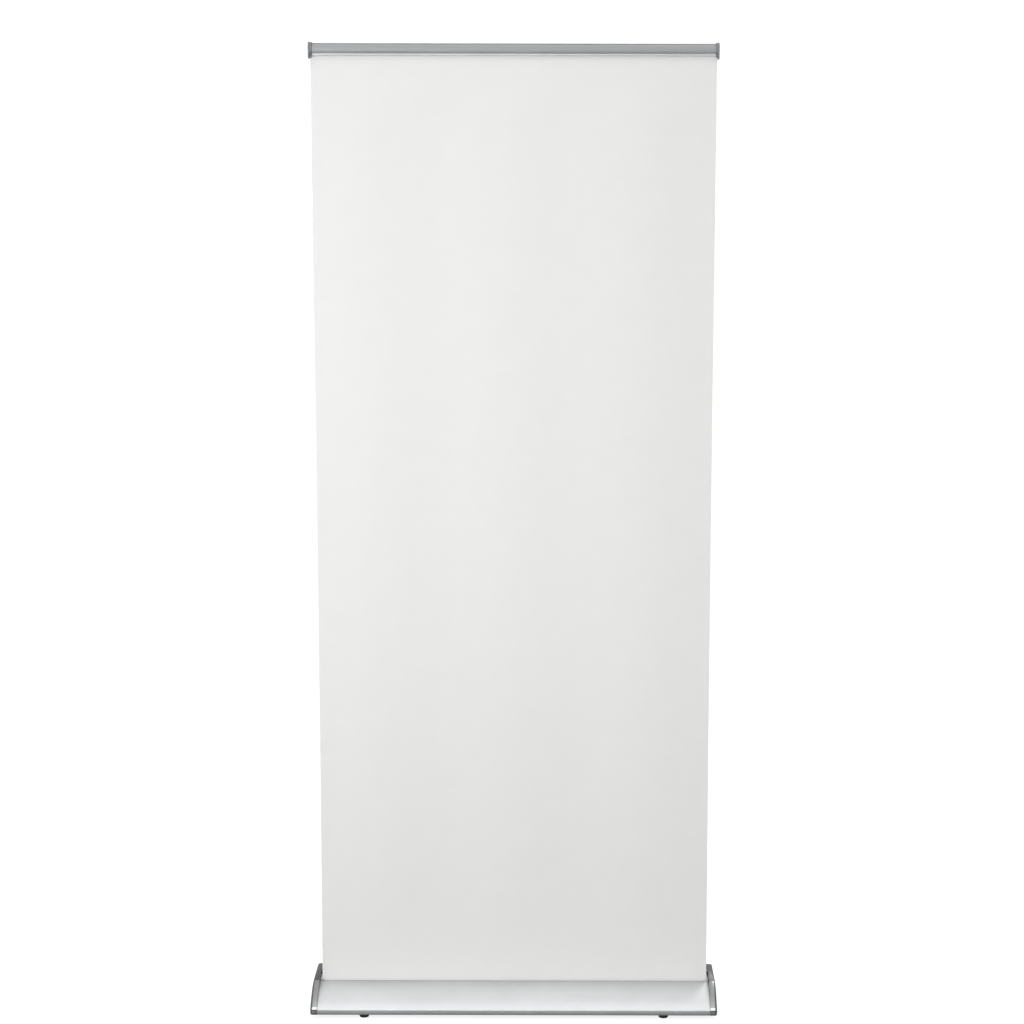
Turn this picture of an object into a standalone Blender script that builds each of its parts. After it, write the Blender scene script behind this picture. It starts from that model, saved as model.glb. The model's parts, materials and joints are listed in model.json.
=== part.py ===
"""Roll-up banner stand: a wide aluminium base with a sprung roller, a three-section pole and a snap rail.

Metres, +Z up. X runs along the base, the printed face looks along -Y, and the origin is on the floor
under the middle of the base.
"""
import math

import bmesh
import bpy
from mathutils import Matrix, Vector

# ---- driving dimensions -------------------------------------------------------------------------
GAP = 0.0003                # clearance between pieces that touch
CASE_LENGTH = 0.8582        # extrusions, between the end caps
CAP_THICK = 0.0146          # end cap, along X
CASE_DEPTH = 0.200          # extrusions, front lip to rear wall
CASE_BOTTOM = 0.009         # underside of the base above the floor
WALL = 0.002                # extrusion wall
LIP_TOP = 0.0197            # top of the upright front lip
SLOT_Z = 0.057              # front edge of the banner slot
CAP_PROUD = 0.002           # how far the end caps stand out past the lip and the rear wall
SHROUD_START = 0.008        # behind this, a cap's shroud laps over the end of the rear shell
SHROUD_REACH = 0.0040
TRIM_END_Y = -0.0230        # the bright strip stops short of the slot

BANNER_Y = -0.012           # plane of the printed sheet
BANNER_WIDTH = 0.849
BANNER_THICK = 0.0005
ROLL_Z = 0.0362             # roller axis
TUBE_RADIUS = 0.0140
TUBE_BORE = 0.0128
WRAP_RADIUS = 0.0150        # sheet left on the tube when the banner is up
BRACKET_THICK = 0.002
BRACKET_X = 0.4262          # inner face of a roller bracket
SHAFT_RADIUS = 0.0045
AXLE_RADIUS = 0.0040
SPRING_RADIUS = 0.0085      # middle of the wire
SPRING_WIRE = 0.0011
SPRING_TURNS = 12

RAIL_BOTTOM = 2.0675
RAIL_LENGTH = 0.8425        # both halves, between the end caps
RAIL_CAP_X = 0.4253         # inner face of a rail cap's outer plate
RAIL_CAP_PLATE = 0.0035
SHEET_IN_RAIL = 0.0200      # how far the sheet reaches up between the halves
BEAD_CENTRE = (-0.0018, 0.0240)
BEAD_RADIUS = 0.0015

POLE_Y = 0.042
POLE_BOTTOM = 0.0155
POLE_TOP = 2.0700
POLE_OVERLAP = 0.060
LOWER_RADIUS = 0.0110
MIDDLE_RADIUS = 0.0095
UPPER_RADIUS = 0.0080
POLE_WALL = 0.0011
POLE_SIDES = 24
SOCKET_FLANGE_Z = 0.0637

FOOT_X = 0.327
FOOT_Y = 0.0835
FOOT_RADIUS = 0.0108        # thumb wheel
PAD_RADIUS = 0.0102
PAD_TOP = 0.0026
STUD_RADIUS = 0.0036
STUD_TOP = 0.0240

SCREW_PLACES = ((-0.0240, 0.0280), (0.0270, 0.0400))

CHARCOAL = (0.055, 0.056, 0.060, 1.0)
SILVER = (0.62, 0.63, 0.64, 1.0)
STEEL = (0.48, 0.49, 0.50, 1.0)
CHROME = (0.85, 0.86, 0.87, 1.0)
BLACK = (0.022, 0.022, 0.024, 1.0)
WHITE = (0.90, 0.90, 0.89, 1.0)

HALF_CASE = CASE_LENGTH / 2
HALF_DEPTH = CASE_DEPTH / 2
ROLL_Y = BANNER_Y + BANNER_THICK / 2 + GAP + WRAP_RADIUS
POLE_LENGTH = (POLE_TOP - POLE_BOTTOM + 2 * POLE_OVERLAP) / 3
MIDDLE_BOTTOM = POLE_BOTTOM + POLE_LENGTH - POLE_OVERLAP
UPPER_BOTTOM = MIDDLE_BOTTOM + POLE_LENGTH - POLE_OVERLAP


# ---- materials ----------------------------------------------------------------------------------
def finish(name, colour, metallic, roughness):
    material = bpy.data.materials.new(name)
    material.use_nodes = True
    shader = material.node_tree.nodes["Principled BSDF"]
    shader.inputs["Base Color"].default_value = colour
    shader.inputs["Metallic"].default_value = metallic
    shader.inputs["Roughness"].default_value = roughness
    material.diffuse_color = colour
    return material


# ---- shape helpers ------------------------------------------------------------------------------
def make_object(name, mesh_data, material, parent=None, location=(0, 0, 0)):
    """Turn a bmesh, made round the given location, into a named object."""
    bmesh.ops.recalc_face_normals(mesh_data, faces=mesh_data.faces)
    mesh = bpy.data.meshes.new(name)
    mesh_data.to_mesh(mesh)
    mesh_data.free()
    mesh.materials.append(material)
    mesh.shade_smooth()
    mesh.set_sharp_from_angle(angle=math.radians(35))
    item = bpy.data.objects.new(name, mesh)
    bpy.context.scene.collection.objects.link(item)
    item.location = location
    if parent is not None:
        item.parent = parent
        item.location = Vector(location) - parent.location
    return item


def make_frame(name, location):
    """An empty on a joint's axis, which a moving body's pieces hang from."""
    empty = bpy.data.objects.new(name, None)
    empty.location = location
    bpy.context.scene.collection.objects.link(empty)
    return empty


def cubic(start, handle_a, handle_b, end, steps):
    """Points along a Bezier stretch of an outline, without its end point."""
    points = []
    for i in range(steps):
        t = i / steps
        weights = ((1 - t) ** 3, 3 * t * (1 - t) ** 2, 3 * t * t * (1 - t), t ** 3)
        knots = (start, handle_a, handle_b, end)
        points.append(tuple(sum(w * k[axis] for w, k in zip(weights, knots)) for axis in range(2)))
    return points


def arc(centre, radius, start_deg, end_deg, steps):
    """Points on an arc of an outline, both ends included."""
    points = []
    for i in range(steps + 1):
        angle = math.radians(start_deg + (end_deg - start_deg) * i / steps)
        points.append((centre[0] + radius * math.cos(angle), centre[1] + radius * math.sin(angle)))
    return points


def offset(points, distance):
    """An open outline moved sideways by a distance: to the left of its direction when positive."""
    moved = []
    for i, point in enumerate(points):
        before = Vector(points[max(i - 1, 0)])
        after = Vector(points[min(i + 1, len(points) - 1)])
        along = (after - before).normalized()
        moved.append((point[0] - along.y * distance, point[1] + along.x * distance))
    return moved


def prism(outline, low, high, axis="X"):
    """A bmesh of a closed outline drawn out along an axis. For X the outline is (y, z), for Z (x, y)."""
    solid = bmesh.new()
    if axis == "X":
        ring = [solid.verts.new((low, a, b)) for a, b in outline]
        step = Vector((high - low, 0, 0))
    else:
        ring = [solid.verts.new((a, b, low)) for a, b in outline]
        step = Vector((0, 0, high - low))
    face = solid.faces.new(ring)
    grown = bmesh.ops.extrude_face_region(solid, geom=[face], use_keep_orig=True)
    top = [g for g in grown["geom"] if isinstance(g, bmesh.types.BMVert)]
    bmesh.ops.translate(solid, vec=step, verts=top)
    return solid


def turned(outline, sides, closed=False, axis="Z"):
    """A bmesh turned about an axis from (radius, height) points. A closed outline makes a ring."""
    solid = bmesh.new()
    rings = []
    for radius, height in outline:
        count = 1 if radius == 0 else sides
        ring = []
        for i in range(count):
            angle = 2 * math.pi * i / sides
            ring.append(solid.verts.new((radius * math.cos(angle), radius * math.sin(angle), height)))
        rings.append(ring)
    pairs = list(zip(rings, rings[1:]))
    if closed:
        pairs.append((rings[-1], rings[0]))
    for lower, upper in pairs:
        for i in range(sides):
            corners = [lower[i % len(lower)], lower[(i + 1) % len(lower)]]
            corners += [upper[(i + 1) % len(upper)], upper[i % len(upper)]]
            distinct = list(dict.fromkeys(corners))
            if len(distinct) > 2:
                solid.faces.new(distinct)
    if axis == "X":
        bmesh.ops.rotate(solid, verts=solid.verts, matrix=Matrix.Rotation(math.pi / 2, 3, "Y"))
    return solid


def tube(outer, inner, low, high):
    return [(outer, low), (outer, high), (inner, high), (inner, low)]


def box(size, centre=(0, 0, 0)):
    solid = bmesh.new()
    bmesh.ops.create_cube(solid, size=1.0)
    bmesh.ops.scale(solid, vec=size, verts=solid.verts)
    bmesh.ops.translate(solid, vec=centre, verts=solid.verts)
    return solid


def cut(target, cutter_data, location=(0, 0, 0), union=False, side=1):
    """Take a hidden cutter out of a piece, or join it on. Side -1 mirrors it for the left end."""
    if side < 0:
        bmesh.ops.scale(cutter_data, vec=(-1, 1, 1), verts=cutter_data.verts)
    cutter = make_object(target.name + "_tool", cutter_data, target.data.materials[0], None, location)
    cutter.hide_render = True
    cutter.display_type = "WIRE"
    modifier = target.modifiers.new("joined" if union else "cut", "BOOLEAN")
    modifier.operation = "UNION" if union else "DIFFERENCE"
    modifier.object = cutter
    return cutter


# ---- outlines of the base, as (y, z) ------------------------------------------------------------
def front_slope():
    """The curved front of the base, from the foot of its lip up to the slot."""
    lip = [(-HALF_DEPTH, CASE_BOTTOM), (-HALF_DEPTH, 0.0145)]
    slope = cubic((-HALF_DEPTH, LIP_TOP), (-0.0880, 0.0315), (-0.0600, 0.0485),
                  (BANNER_Y - 0.0025, SLOT_Z), 10)
    return lip + slope + [(BANNER_Y - 0.0025, SLOT_Z)]


def rear_crest():
    """The back of the base, from the slot over the crest and down the rear wall."""
    crest = cubic((BANNER_Y + 0.0028, 0.0595), (0.0080, 0.0640), (0.0480, 0.0652), (0.0720, 0.0580), 8)
    corner = cubic((0.0720, 0.0580), (0.0900, 0.0525), (HALF_DEPTH, 0.0455), (HALF_DEPTH, 0.0300), 6)
    return crest + corner + [(HALF_DEPTH, 0.0300), (HALF_DEPTH, CASE_BOTTOM)]


def cap_outline():
    """Side view of an end cap: one smooth hump that stands above both extrusions."""
    front = -HALF_DEPTH - CAP_PROUD
    rear = HALF_DEPTH + CAP_PROUD
    low = CASE_BOTTOM - GAP
    outline = arc((front + 0.004, low + 0.004), 0.004, 270, 180, 3)
    outline += cubic((front, LIP_TOP + 0.0010), (-0.0900, 0.0345), (-0.0620, 0.0530),
                     (-0.0300, 0.0625), 8)
    outline += cubic((-0.0300, 0.0625), (0.0020, 0.0720), (0.0450, 0.0745), (0.0720, 0.0665), 8)
    outline += cubic((0.0720, 0.0665), (0.0930, 0.0600), (rear, 0.0500), (rear, 0.0300), 6)
    outline += [(rear, 0.0300)]
    outline += arc((rear - 0.004, low + 0.004), 0.004, 0, -90, 3)
    return outline


# ---- base ---------------------------------------------------------------------------------------
def make_floor_plate(steel):
    """Flat steel ballast plate that closes the underside, bored for the four feet."""
    inset = WALL + GAP
    size = (CASE_LENGTH, CASE_DEPTH - 2 * inset, 0.003)
    plate = make_object("floor_plate", box(size, (0, 0, CASE_BOTTOM + 0.0015)), steel)
    for x in (-FOOT_X, FOOT_X):
        for y in (-FOOT_Y, FOOT_Y):
            hole = turned([(0, -0.01), (0.0062, -0.01), (0.0062, 0.01), (0, 0.01)], 16)
            cut(plate, hole, (x, y, CASE_BOTTOM))


def make_front_cover(silver):
    outer = front_slope()
    inner = offset(outer, -WALL)
    outline = outer + inner[::-1]
    make_object("front_cover", prism(outline, -HALF_CASE, HALF_CASE), silver)


def make_rear_shell(silver):
    outer = rear_crest()
    inner = offset(outer, -WALL)
    outline = outer + inner[::-1]
    shell = make_object("rear_shell", prism(outline, -HALF_CASE, HALF_CASE), silver)
    hole = turned([(0, 0.02), (0.0135, 0.02), (0.0135, 0.09), (0, 0.09)], 24)
    cut(shell, hole, (0, POLE_Y, 0))


def make_end_cap(side, name, plastic):
    """Moulded cap: a rounded outer face, hollow behind, with a groove for the bright trim."""
    inner_x = HALF_CASE + GAP
    solid = prism(cap_outline(), inner_x, HALF_CASE + CAP_THICK)
    outer_face = max(solid.faces, key=lambda f: f.calc_center_median().x)
    bmesh.ops.bevel(solid, geom=list(outer_face.edges), offset=0.0035, segments=3, profile=0.5,
                    affect="EDGES", clamp_overlap=True)
    if side < 0:
        bmesh.ops.scale(solid, vec=(-1, 1, 1), verts=solid.verts)
    cap = make_object(name, solid, plastic)
    hollow = prism(offset(cap_outline(), -0.0030)[1:-1], inner_x - 0.005, inner_x + 0.0092)
    cut(cap, hollow, side=side)
    over = offset(cap_outline(), -0.0004)
    under = offset(rear_crest(), GAP)
    section = [p for line in (over, under[::-1]) for p in line if p[0] > SHROUD_START and p[1] > 0.035]
    flange = prism(section, HALF_CASE - SHROUD_REACH, inner_x + 0.0010)
    cut(cap, flange, union=True, side=side)
    return cap


def trim_path():
    """Middle line of the bright strip: up the cap's nose and along its front slope to the slot."""
    points = [p for p in cap_outline() if p[0] < TRIM_END_Y]
    return points[1:]


def make_trim(side, name, chrome, cap):
    """Bright strip let into the cap's front slope, in a groove of its own."""
    path = trim_path()
    deep = offset(path, -0.0016)
    low_x = HALF_CASE + GAP + 0.0004
    high_x = low_x + 0.0102
    groove_path = offset(path, -0.0016 - GAP)
    above = offset(path, 0.004)
    groove = prism(above + groove_path[::-1], low_x - 0.003, high_x + GAP)
    strip = prism(offset(path, 0.0002) + deep[::-1], low_x, high_x)
    if side < 0:
        for solid in (groove, strip):
            bmesh.ops.scale(solid, vec=(-1, 1, 1), verts=solid.verts)
    cut(cap, groove)
    make_object(name, strip, chrome)


def make_cap_screw(side, word, number, place, cap, bracket, steel):
    """Pan-head screw, sunk in the cap's outer face, whose point is threaded into the roller bracket."""
    y, z = place
    face_x = HALF_CASE + CAP_THICK
    seat = [(0, -0.012), (0.0017, -0.012), (0.0017, -0.0024), (0.0036, -0.0024), (0.0036, 0.01),
            (0, 0.01)]
    cut(cap, turned(seat, 12, axis="X"), (side * face_x, y, z), side=side)
    hole = turned([(0, -0.01), (0.0017, -0.01), (0.0017, 0.01), (0, 0.01)], 12, axis="X")
    cut(bracket, hole, (side * BRACKET_X, y, z))
    tip = BRACKET_X - face_x
    outline = [(0, tip), (0.0014, tip), (0.0014, -0.0021), (0.0032, -0.0021), (0.0032, -0.0012),
               (0.0020, -0.0004), (0, -0.0003)]
    screw = turned(outline, 12, axis="X")
    if side < 0:
        bmesh.ops.scale(screw, vec=(-1, 1, 1), verts=screw.verts)
    make_object(f"cap_screw_{word}_{number}", screw, steel, None, (side * face_x, y, z))


# ---- roller -------------------------------------------------------------------------------------
def make_bracket(side, word, hole_radius, steel):
    """Pressed plate that carries one end of the roller, just inside the end cap."""
    low = CASE_BOTTOM + 0.003 + GAP
    outline = [(-0.0300, low), (0.0320, low), (0.0320, 0.0440)]
    outline += arc((0.0260, 0.0440), 0.0060, 15, 90, 3)
    outline += arc((-0.0240, 0.0430), 0.0060, 90, 165, 3)
    outline += [(-0.0300, 0.0430)]
    near, far = sorted((side * BRACKET_X, side * (BRACKET_X + BRACKET_THICK)))
    bracket = make_object("roller_bracket_" + word, prism(outline, near, far), steel)
    hole = turned([(0, -0.01), (hole_radius, -0.01), (hole_radius, 0.01), (0, 0.01)], 16, axis="X")
    cut(bracket, hole, (side * BRACKET_X, ROLL_Y, ROLL_Z))
    return bracket


def make_roller(silver, plastic, white):
    """The tube that winds the sheet, its two end plugs and the turns of sheet that stay on it."""
    axis = make_frame("roller_axis", (0, ROLL_Y, ROLL_Z))
    place = (0, ROLL_Y, ROLL_Z)
    half = BANNER_WIDTH / 2
    make_object("roller_tube", turned(tube(TUBE_RADIUS, TUBE_BORE, -half, half), 28, True, "X"),
                silver, axis, place)
    wraps = tube(WRAP_RADIUS, TUBE_RADIUS + GAP, -half, half)
    make_object("sheet_roll", turned(wraps, 28, True, "X"), white, axis, place)
    for side, name, bore in ((-1, "drive_plug", SHAFT_RADIUS), (1, "idle_plug", AXLE_RADIUS)):
        body = TUBE_BORE - GAP
        outline = [(bore + 0.0005, half - 0.024), (body, half - 0.024), (body, half + GAP),
                   (0.0135, half + GAP), (0.0135, half + 0.0013), (bore + 0.0005, half + 0.0013)]
        plug = turned(outline, 20, True, "X")
        if side < 0:
            bmesh.ops.scale(plug, vec=(-1, 1, 1), verts=plug.verts)
        make_object(name, plug, plastic, axis, place)


def make_spring_set(steel, plastic):
    """Fixed shaft on the left bracket, the torsion spring round it and the hub that anchors it."""
    place = (0, ROLL_Y, ROLL_Z)
    end = -(BRACKET_X + BRACKET_THICK)
    shaft = [(0, end), (SHAFT_RADIUS, end), (SHAFT_RADIUS, -0.1000), (0, -0.1000)]
    make_object("spring_shaft", turned(shaft, 12, axis="X"), steel, None, place)
    anchor = tube(0.0112, SHAFT_RADIUS + GAP, -0.1200, -0.1060)
    make_object("spring_anchor", turned(anchor, 16, True, "X"), plastic, None, place)
    axle_end = BRACKET_X + BRACKET_THICK
    axle = [(0, 0.4040), (AXLE_RADIUS, 0.4040), (AXLE_RADIUS, axle_end), (0, axle_end)]
    make_object("idle_axle", turned(axle, 12, axis="X"), steel, None, place)

    coil = bpy.data.curves.new("torsion_spring", "CURVE")
    coil.dimensions = "3D"
    coil.bevel_depth = SPRING_WIRE
    coil.bevel_resolution = 0
    coil.use_fill_caps = True
    line = coil.splines.new("POLY")
    steps = SPRING_TURNS * 9
    line.points.add(steps)
    for i, point in enumerate(line.points):
        turn = 2 * math.pi * i / 9
        x = -0.1240 - 0.2660 * i / steps
        point.co = (x, SPRING_RADIUS * math.cos(turn), SPRING_RADIUS * math.sin(turn), 1)
    coil.materials.append(steel)
    spring = bpy.data.objects.new("torsion_spring", coil)
    spring.location = place
    bpy.context.scene.collection.objects.link(spring)


# ---- feet ---------------------------------------------------------------------------------------
def make_foot(word, x, y, steel, plastic, rubber):
    """Levelling foot: a fixed insert, a thumb wheel with its stud, and a pad the stud turns in."""
    insert = [(0.0059, 0.0092), (0.0059, 0.0123), (0.0080, 0.0123), (0.0080, 0.0165),
              (0.0040, 0.0165), (0.0040, 0.0092)]
    make_object("foot_insert_" + word, turned(insert, 16, True), steel, None, (x, y, 0))
    axis = make_frame("foot_axis_" + word, (x, y, 0))
    pad = [(0, 0), (PAD_RADIUS - 0.001, 0), (PAD_RADIUS, 0.0010), (PAD_RADIUS, PAD_TOP), (0, PAD_TOP)]
    make_object("foot_pad_" + word, turned(pad, 20), rubber, axis, (x, y, 0))
    low = PAD_TOP + GAP
    wheel = [(0, low), (FOOT_RADIUS - 0.001, low), (FOOT_RADIUS, low + 0.001),
             (FOOT_RADIUS, 0.0076), (FOOT_RADIUS - 0.0010, 0.0086), (STUD_RADIUS, 0.0086),
             (STUD_RADIUS, STUD_TOP), (0, STUD_TOP)]
    make_object("foot_screw_" + word, turned(wheel, 20), plastic, axis, (x, y, 0))


# ---- pole ---------------------------------------------------------------------------------------
def make_socket(plastic):
    """Flanged cup in the crest of the base that the pole stands in."""
    bore = LOWER_RADIUS + GAP
    low = CASE_BOTTOM + 0.003 + GAP
    outline = [(0, low), (0.0131, low), (0.0131, SOCKET_FLANGE_Z), (0.0165, SOCKET_FLANGE_Z),
               (0.0160, SOCKET_FLANGE_Z + 0.0020), (bore, SOCKET_FLANGE_Z + 0.0020),
               (bore, POLE_BOTTOM - GAP), (0, POLE_BOTTOM - GAP)]
    make_object("pole_socket", turned(outline, POLE_SIDES), plastic, None, (0, POLE_Y, 0))


def make_pole_tube(name, radius, low, material, frame):
    section = tube(radius, radius - POLE_WALL, low, low + POLE_LENGTH)
    make_object(name, turned(section, POLE_SIDES, True), material, frame, (0, POLE_Y, 0))


def make_glide(name, outer_bore, tube_radius, low, plastic, frame):
    """Plastic plug in the foot of a sliding tube, which runs in the bore of the tube outside it."""
    inner = tube_radius - POLE_WALL - GAP
    rim = outer_bore - 0.0002
    outline = [(0, low - 0.004), (rim, low - 0.004), (rim, low - GAP), (inner, low - GAP),
               (inner, low + 0.010), (0, low + 0.010)]
    make_object(name, turned(outline, POLE_SIDES), plastic, frame, (0, POLE_Y, 0))


def make_clamp(word, tube_radius, inner_radius, top, plastic, steel, frame, lever_frame):
    """Clamp at the top of a tube: a collar with two ears, a pin through them and a lever on it."""
    low = top - 0.028
    high = top + 0.004
    outer = tube_radius + 0.0035
    pin_y = outer + 0.0045
    ring = [(outer, low), (outer, high), (inner_radius + 0.0004, high),
            (inner_radius + 0.0004, top + GAP), (tube_radius + GAP, top + GAP),
            (tube_radius + GAP, low)]
    collar = make_object("clamp_collar_" + word, turned(ring, POLE_SIDES, True), plastic, frame,
                         (0, POLE_Y, 0))
    ear = 0.006
    for start in (low, high - ear):
        block = box((0.0076, 0.0085, ear), (0, outer + 0.0037, start + ear / 2))
        cut(collar, block, (0, POLE_Y, 0), union=True)
    bore = turned([(0, low - 0.01), (0.0015, low - 0.01), (0.0015, high + 0.01), (0, high + 0.01)], 12)
    cut(collar, bore, (0, POLE_Y + pin_y, 0))

    pin = [(0, low - 0.0005), (0.0012, low - 0.0005), (0.0012, high + 0.0005), (0, high + 0.0005)]
    make_object("clamp_pin_" + word, turned(pin, 12), steel, frame, (0, POLE_Y + pin_y, 0))

    near = outer + 0.0005
    far = near + 0.0026
    hub = 0.0034
    outline = arc((0, 0), near, -30, 84, 9)
    outline += [(x, y + pin_y) for x, y in arc((0, 0), hub, 250, -15, 8)]
    outline += arc((0, 0), far, 74, -24, 8)
    outline += [(far * 1.12 * math.cos(math.radians(-34)), far * 1.12 * math.sin(math.radians(-34)))]
    handle = prism(outline, low + ear + GAP, high - ear - GAP, axis="Z")
    bmesh.ops.translate(handle, vec=(0, -pin_y, 0), verts=handle.verts)
    lever = make_object("clamp_lever_" + word, handle, plastic, lever_frame, (0, POLE_Y + pin_y, 0))
    cut(lever, turned([(0, low), (0.0015, low), (0.0015, high), (0, high)], 12), (0, POLE_Y + pin_y, 0))


def make_pole_head(plastic, frame):
    """Moulded head on the pole: a plug in the top tube and an arm that hooks into the rail's channel."""
    place = (0, POLE_Y, 0)
    plug = UPPER_RADIUS - POLE_WALL - GAP
    outline = [(0, POLE_TOP - 0.020), (plug, POLE_TOP - 0.020), (plug, POLE_TOP + GAP),
               (0.0105, POLE_TOP + GAP), (0.0105, POLE_TOP + 0.014), (0.0090, POLE_TOP + 0.0155),
               (0, POLE_TOP + 0.0155)]
    head = make_object("pole_head", turned(outline, POLE_SIDES), plastic, frame, place)
    hook_y = BANNER_Y + 0.0027 - POLE_Y
    arm = box((0.0160, -0.005 - hook_y, 0.0075), (0, (hook_y - 0.005) / 2, RAIL_BOTTOM + 0.01325))
    cut(head, arm, place, union=True)
    hook = box((0.0300, 0.0044, 0.0150), (0, hook_y + 0.0022, RAIL_BOTTOM + 0.01325))
    cut(head, hook, place, union=True)


# ---- rail, as (distance behind the sheet, height over the lower edge) ---------------------------
def rail_points(points):
    return [(BANNER_Y + u, RAIL_BOTTOM + v) for u, v in points]


def back_outline():
    """Back half: a web behind the sheet, a hooked knuckle on top and a channel for the pole head."""
    outline = [(0.0006, 0.0), (0.0006, 0.0226)]
    outline += arc(BEAD_CENTRE, BEAD_RADIUS + 0.0004, -15, 125, 7)
    outline += arc(BEAD_CENTRE, 0.0030, 125, 60, 4)
    outline += [(0.0022, 0.0266), (0.0022, 0.0230), (0.0090, 0.0230), (0.0090, 0.0180),
                (0.0075, 0.0180), (0.0075, 0.0215), (0.0022, 0.0215), (0.0022, 0.0050),
                (0.0075, 0.0050), (0.0075, 0.0085), (0.0090, 0.0085), (0.0090, 0.0035),
                (0.0022, 0.0035), (0.0022, 0.0)]
    return outline


def jaw_face():
    """Outer face of the front half, from the knuckle over the belly to the lower lip."""
    face = cubic((-0.0036, 0.0245), (-0.0075, 0.0242), (-0.0098, 0.0190), (-0.0098, 0.0135), 5)
    face += cubic((-0.0098, 0.0135), (-0.0098, 0.0100), (-0.0084, 0.0068), (-0.0062, 0.0058), 4)
    face += [(-0.0062, 0.0058)]
    face += [(-0.0068, 0.0044), (-0.0068, 0.0020), (-0.0058, 0.0004), (-0.0044, 0.0)]
    return face


def jaw_outline():
    """Front half: a bead that turns in the knuckle, a curved wall and a lip that grips the sheet."""
    inside = [(-0.0006, 0.0), (-0.0006, 0.0044), (-0.0046, 0.0056)]
    inside += cubic((-0.0050, 0.0070), (-0.0074, 0.0080), (-0.0084, 0.0105), (-0.0084, 0.0135), 3)
    inside += cubic((-0.0084, 0.0135), (-0.0084, 0.0180), (-0.0070, 0.0222), (-0.0040, 0.0230), 4)
    bead = arc(BEAD_CENTRE, BEAD_RADIUS, 235, 515, 12)
    return jaw_face() + inside + bead


def rail_cap_outline():
    """Inner block of a rail cap: the rail's section standing proud, slotted for the sheet."""
    low = -0.0005
    outline = [(-0.0006, low), (-0.0006, SHEET_IN_RAIL + 0.0012), (0.0006, SHEET_IN_RAIL + 0.0012),
               (0.0006, low), (0.0104, low), (0.0104, 0.0270), (0.0090, 0.0288), (-0.0040, 0.0288)]
    outline += cubic((-0.0075, 0.0275), (-0.0110, 0.0235), (-0.0114, 0.0185), (-0.0114, 0.0135), 4)
    outline += cubic((-0.0114, 0.0135), (-0.0114, 0.0090), (-0.0090, 0.0050), (-0.0080, 0.0030), 3)
    outline += [(-0.0076, low)]
    return outline


def rail_cap_plate():
    """Outer plate of a rail cap, which hangs below the rail with its corners cut off."""
    outline = [(-0.0050, -0.0090), (0.0050, -0.0090), (0.0110, -0.0040), (0.0110, 0.0275),
               (0.0094, 0.0292), (-0.0046, 0.0292)]
    outline += cubic((-0.0080, 0.0280), (-0.0116, 0.0240), (-0.0120, 0.0185), (-0.0120, 0.0135), 4)
    outline += [(-0.0120, 0.0135), (-0.0112, 0.0000)]
    return outline


def make_rail(silver, plastic, frame, hinge):
    half = RAIL_LENGTH / 2
    place = tuple(frame.location)
    for name, outline, holder in (("rail_back", back_outline(), frame), ("rail_jaw", jaw_outline(), hinge)):
        solid = prism(rail_points(outline), -half, half)
        bmesh.ops.translate(solid, vec=-Vector(holder.location), verts=solid.verts)
        make_object(name, solid, silver, holder, tuple(holder.location))
    for side, word in ((-1, "left"), (1, "right")):
        block = prism(rail_points(rail_cap_outline()), half + GAP, RAIL_CAP_X + 0.0003)
        plate = prism(rail_points(rail_cap_plate()), RAIL_CAP_X, RAIL_CAP_X + RAIL_CAP_PLATE)
        for solid in (block, plate):
            if side < 0:
                bmesh.ops.scale(solid, vec=(-1, 1, 1), verts=solid.verts)
            bmesh.ops.translate(solid, vec=-Vector(place), verts=solid.verts)
        cap = make_object("rail_cap_" + word, plate, plastic, frame, place)
        cut(cap, block, place, union=True)


def make_banner(white):
    """The stretched sheet: from the front of the roll, up through the slot, into the rail."""
    top = RAIL_BOTTOM + SHEET_IN_RAIL
    size = (BANNER_WIDTH, BANNER_THICK, top - ROLL_Z)
    make_object("banner_panel", box(size), white, None, (0, BANNER_Y, (top + ROLL_Z) / 2))


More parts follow.
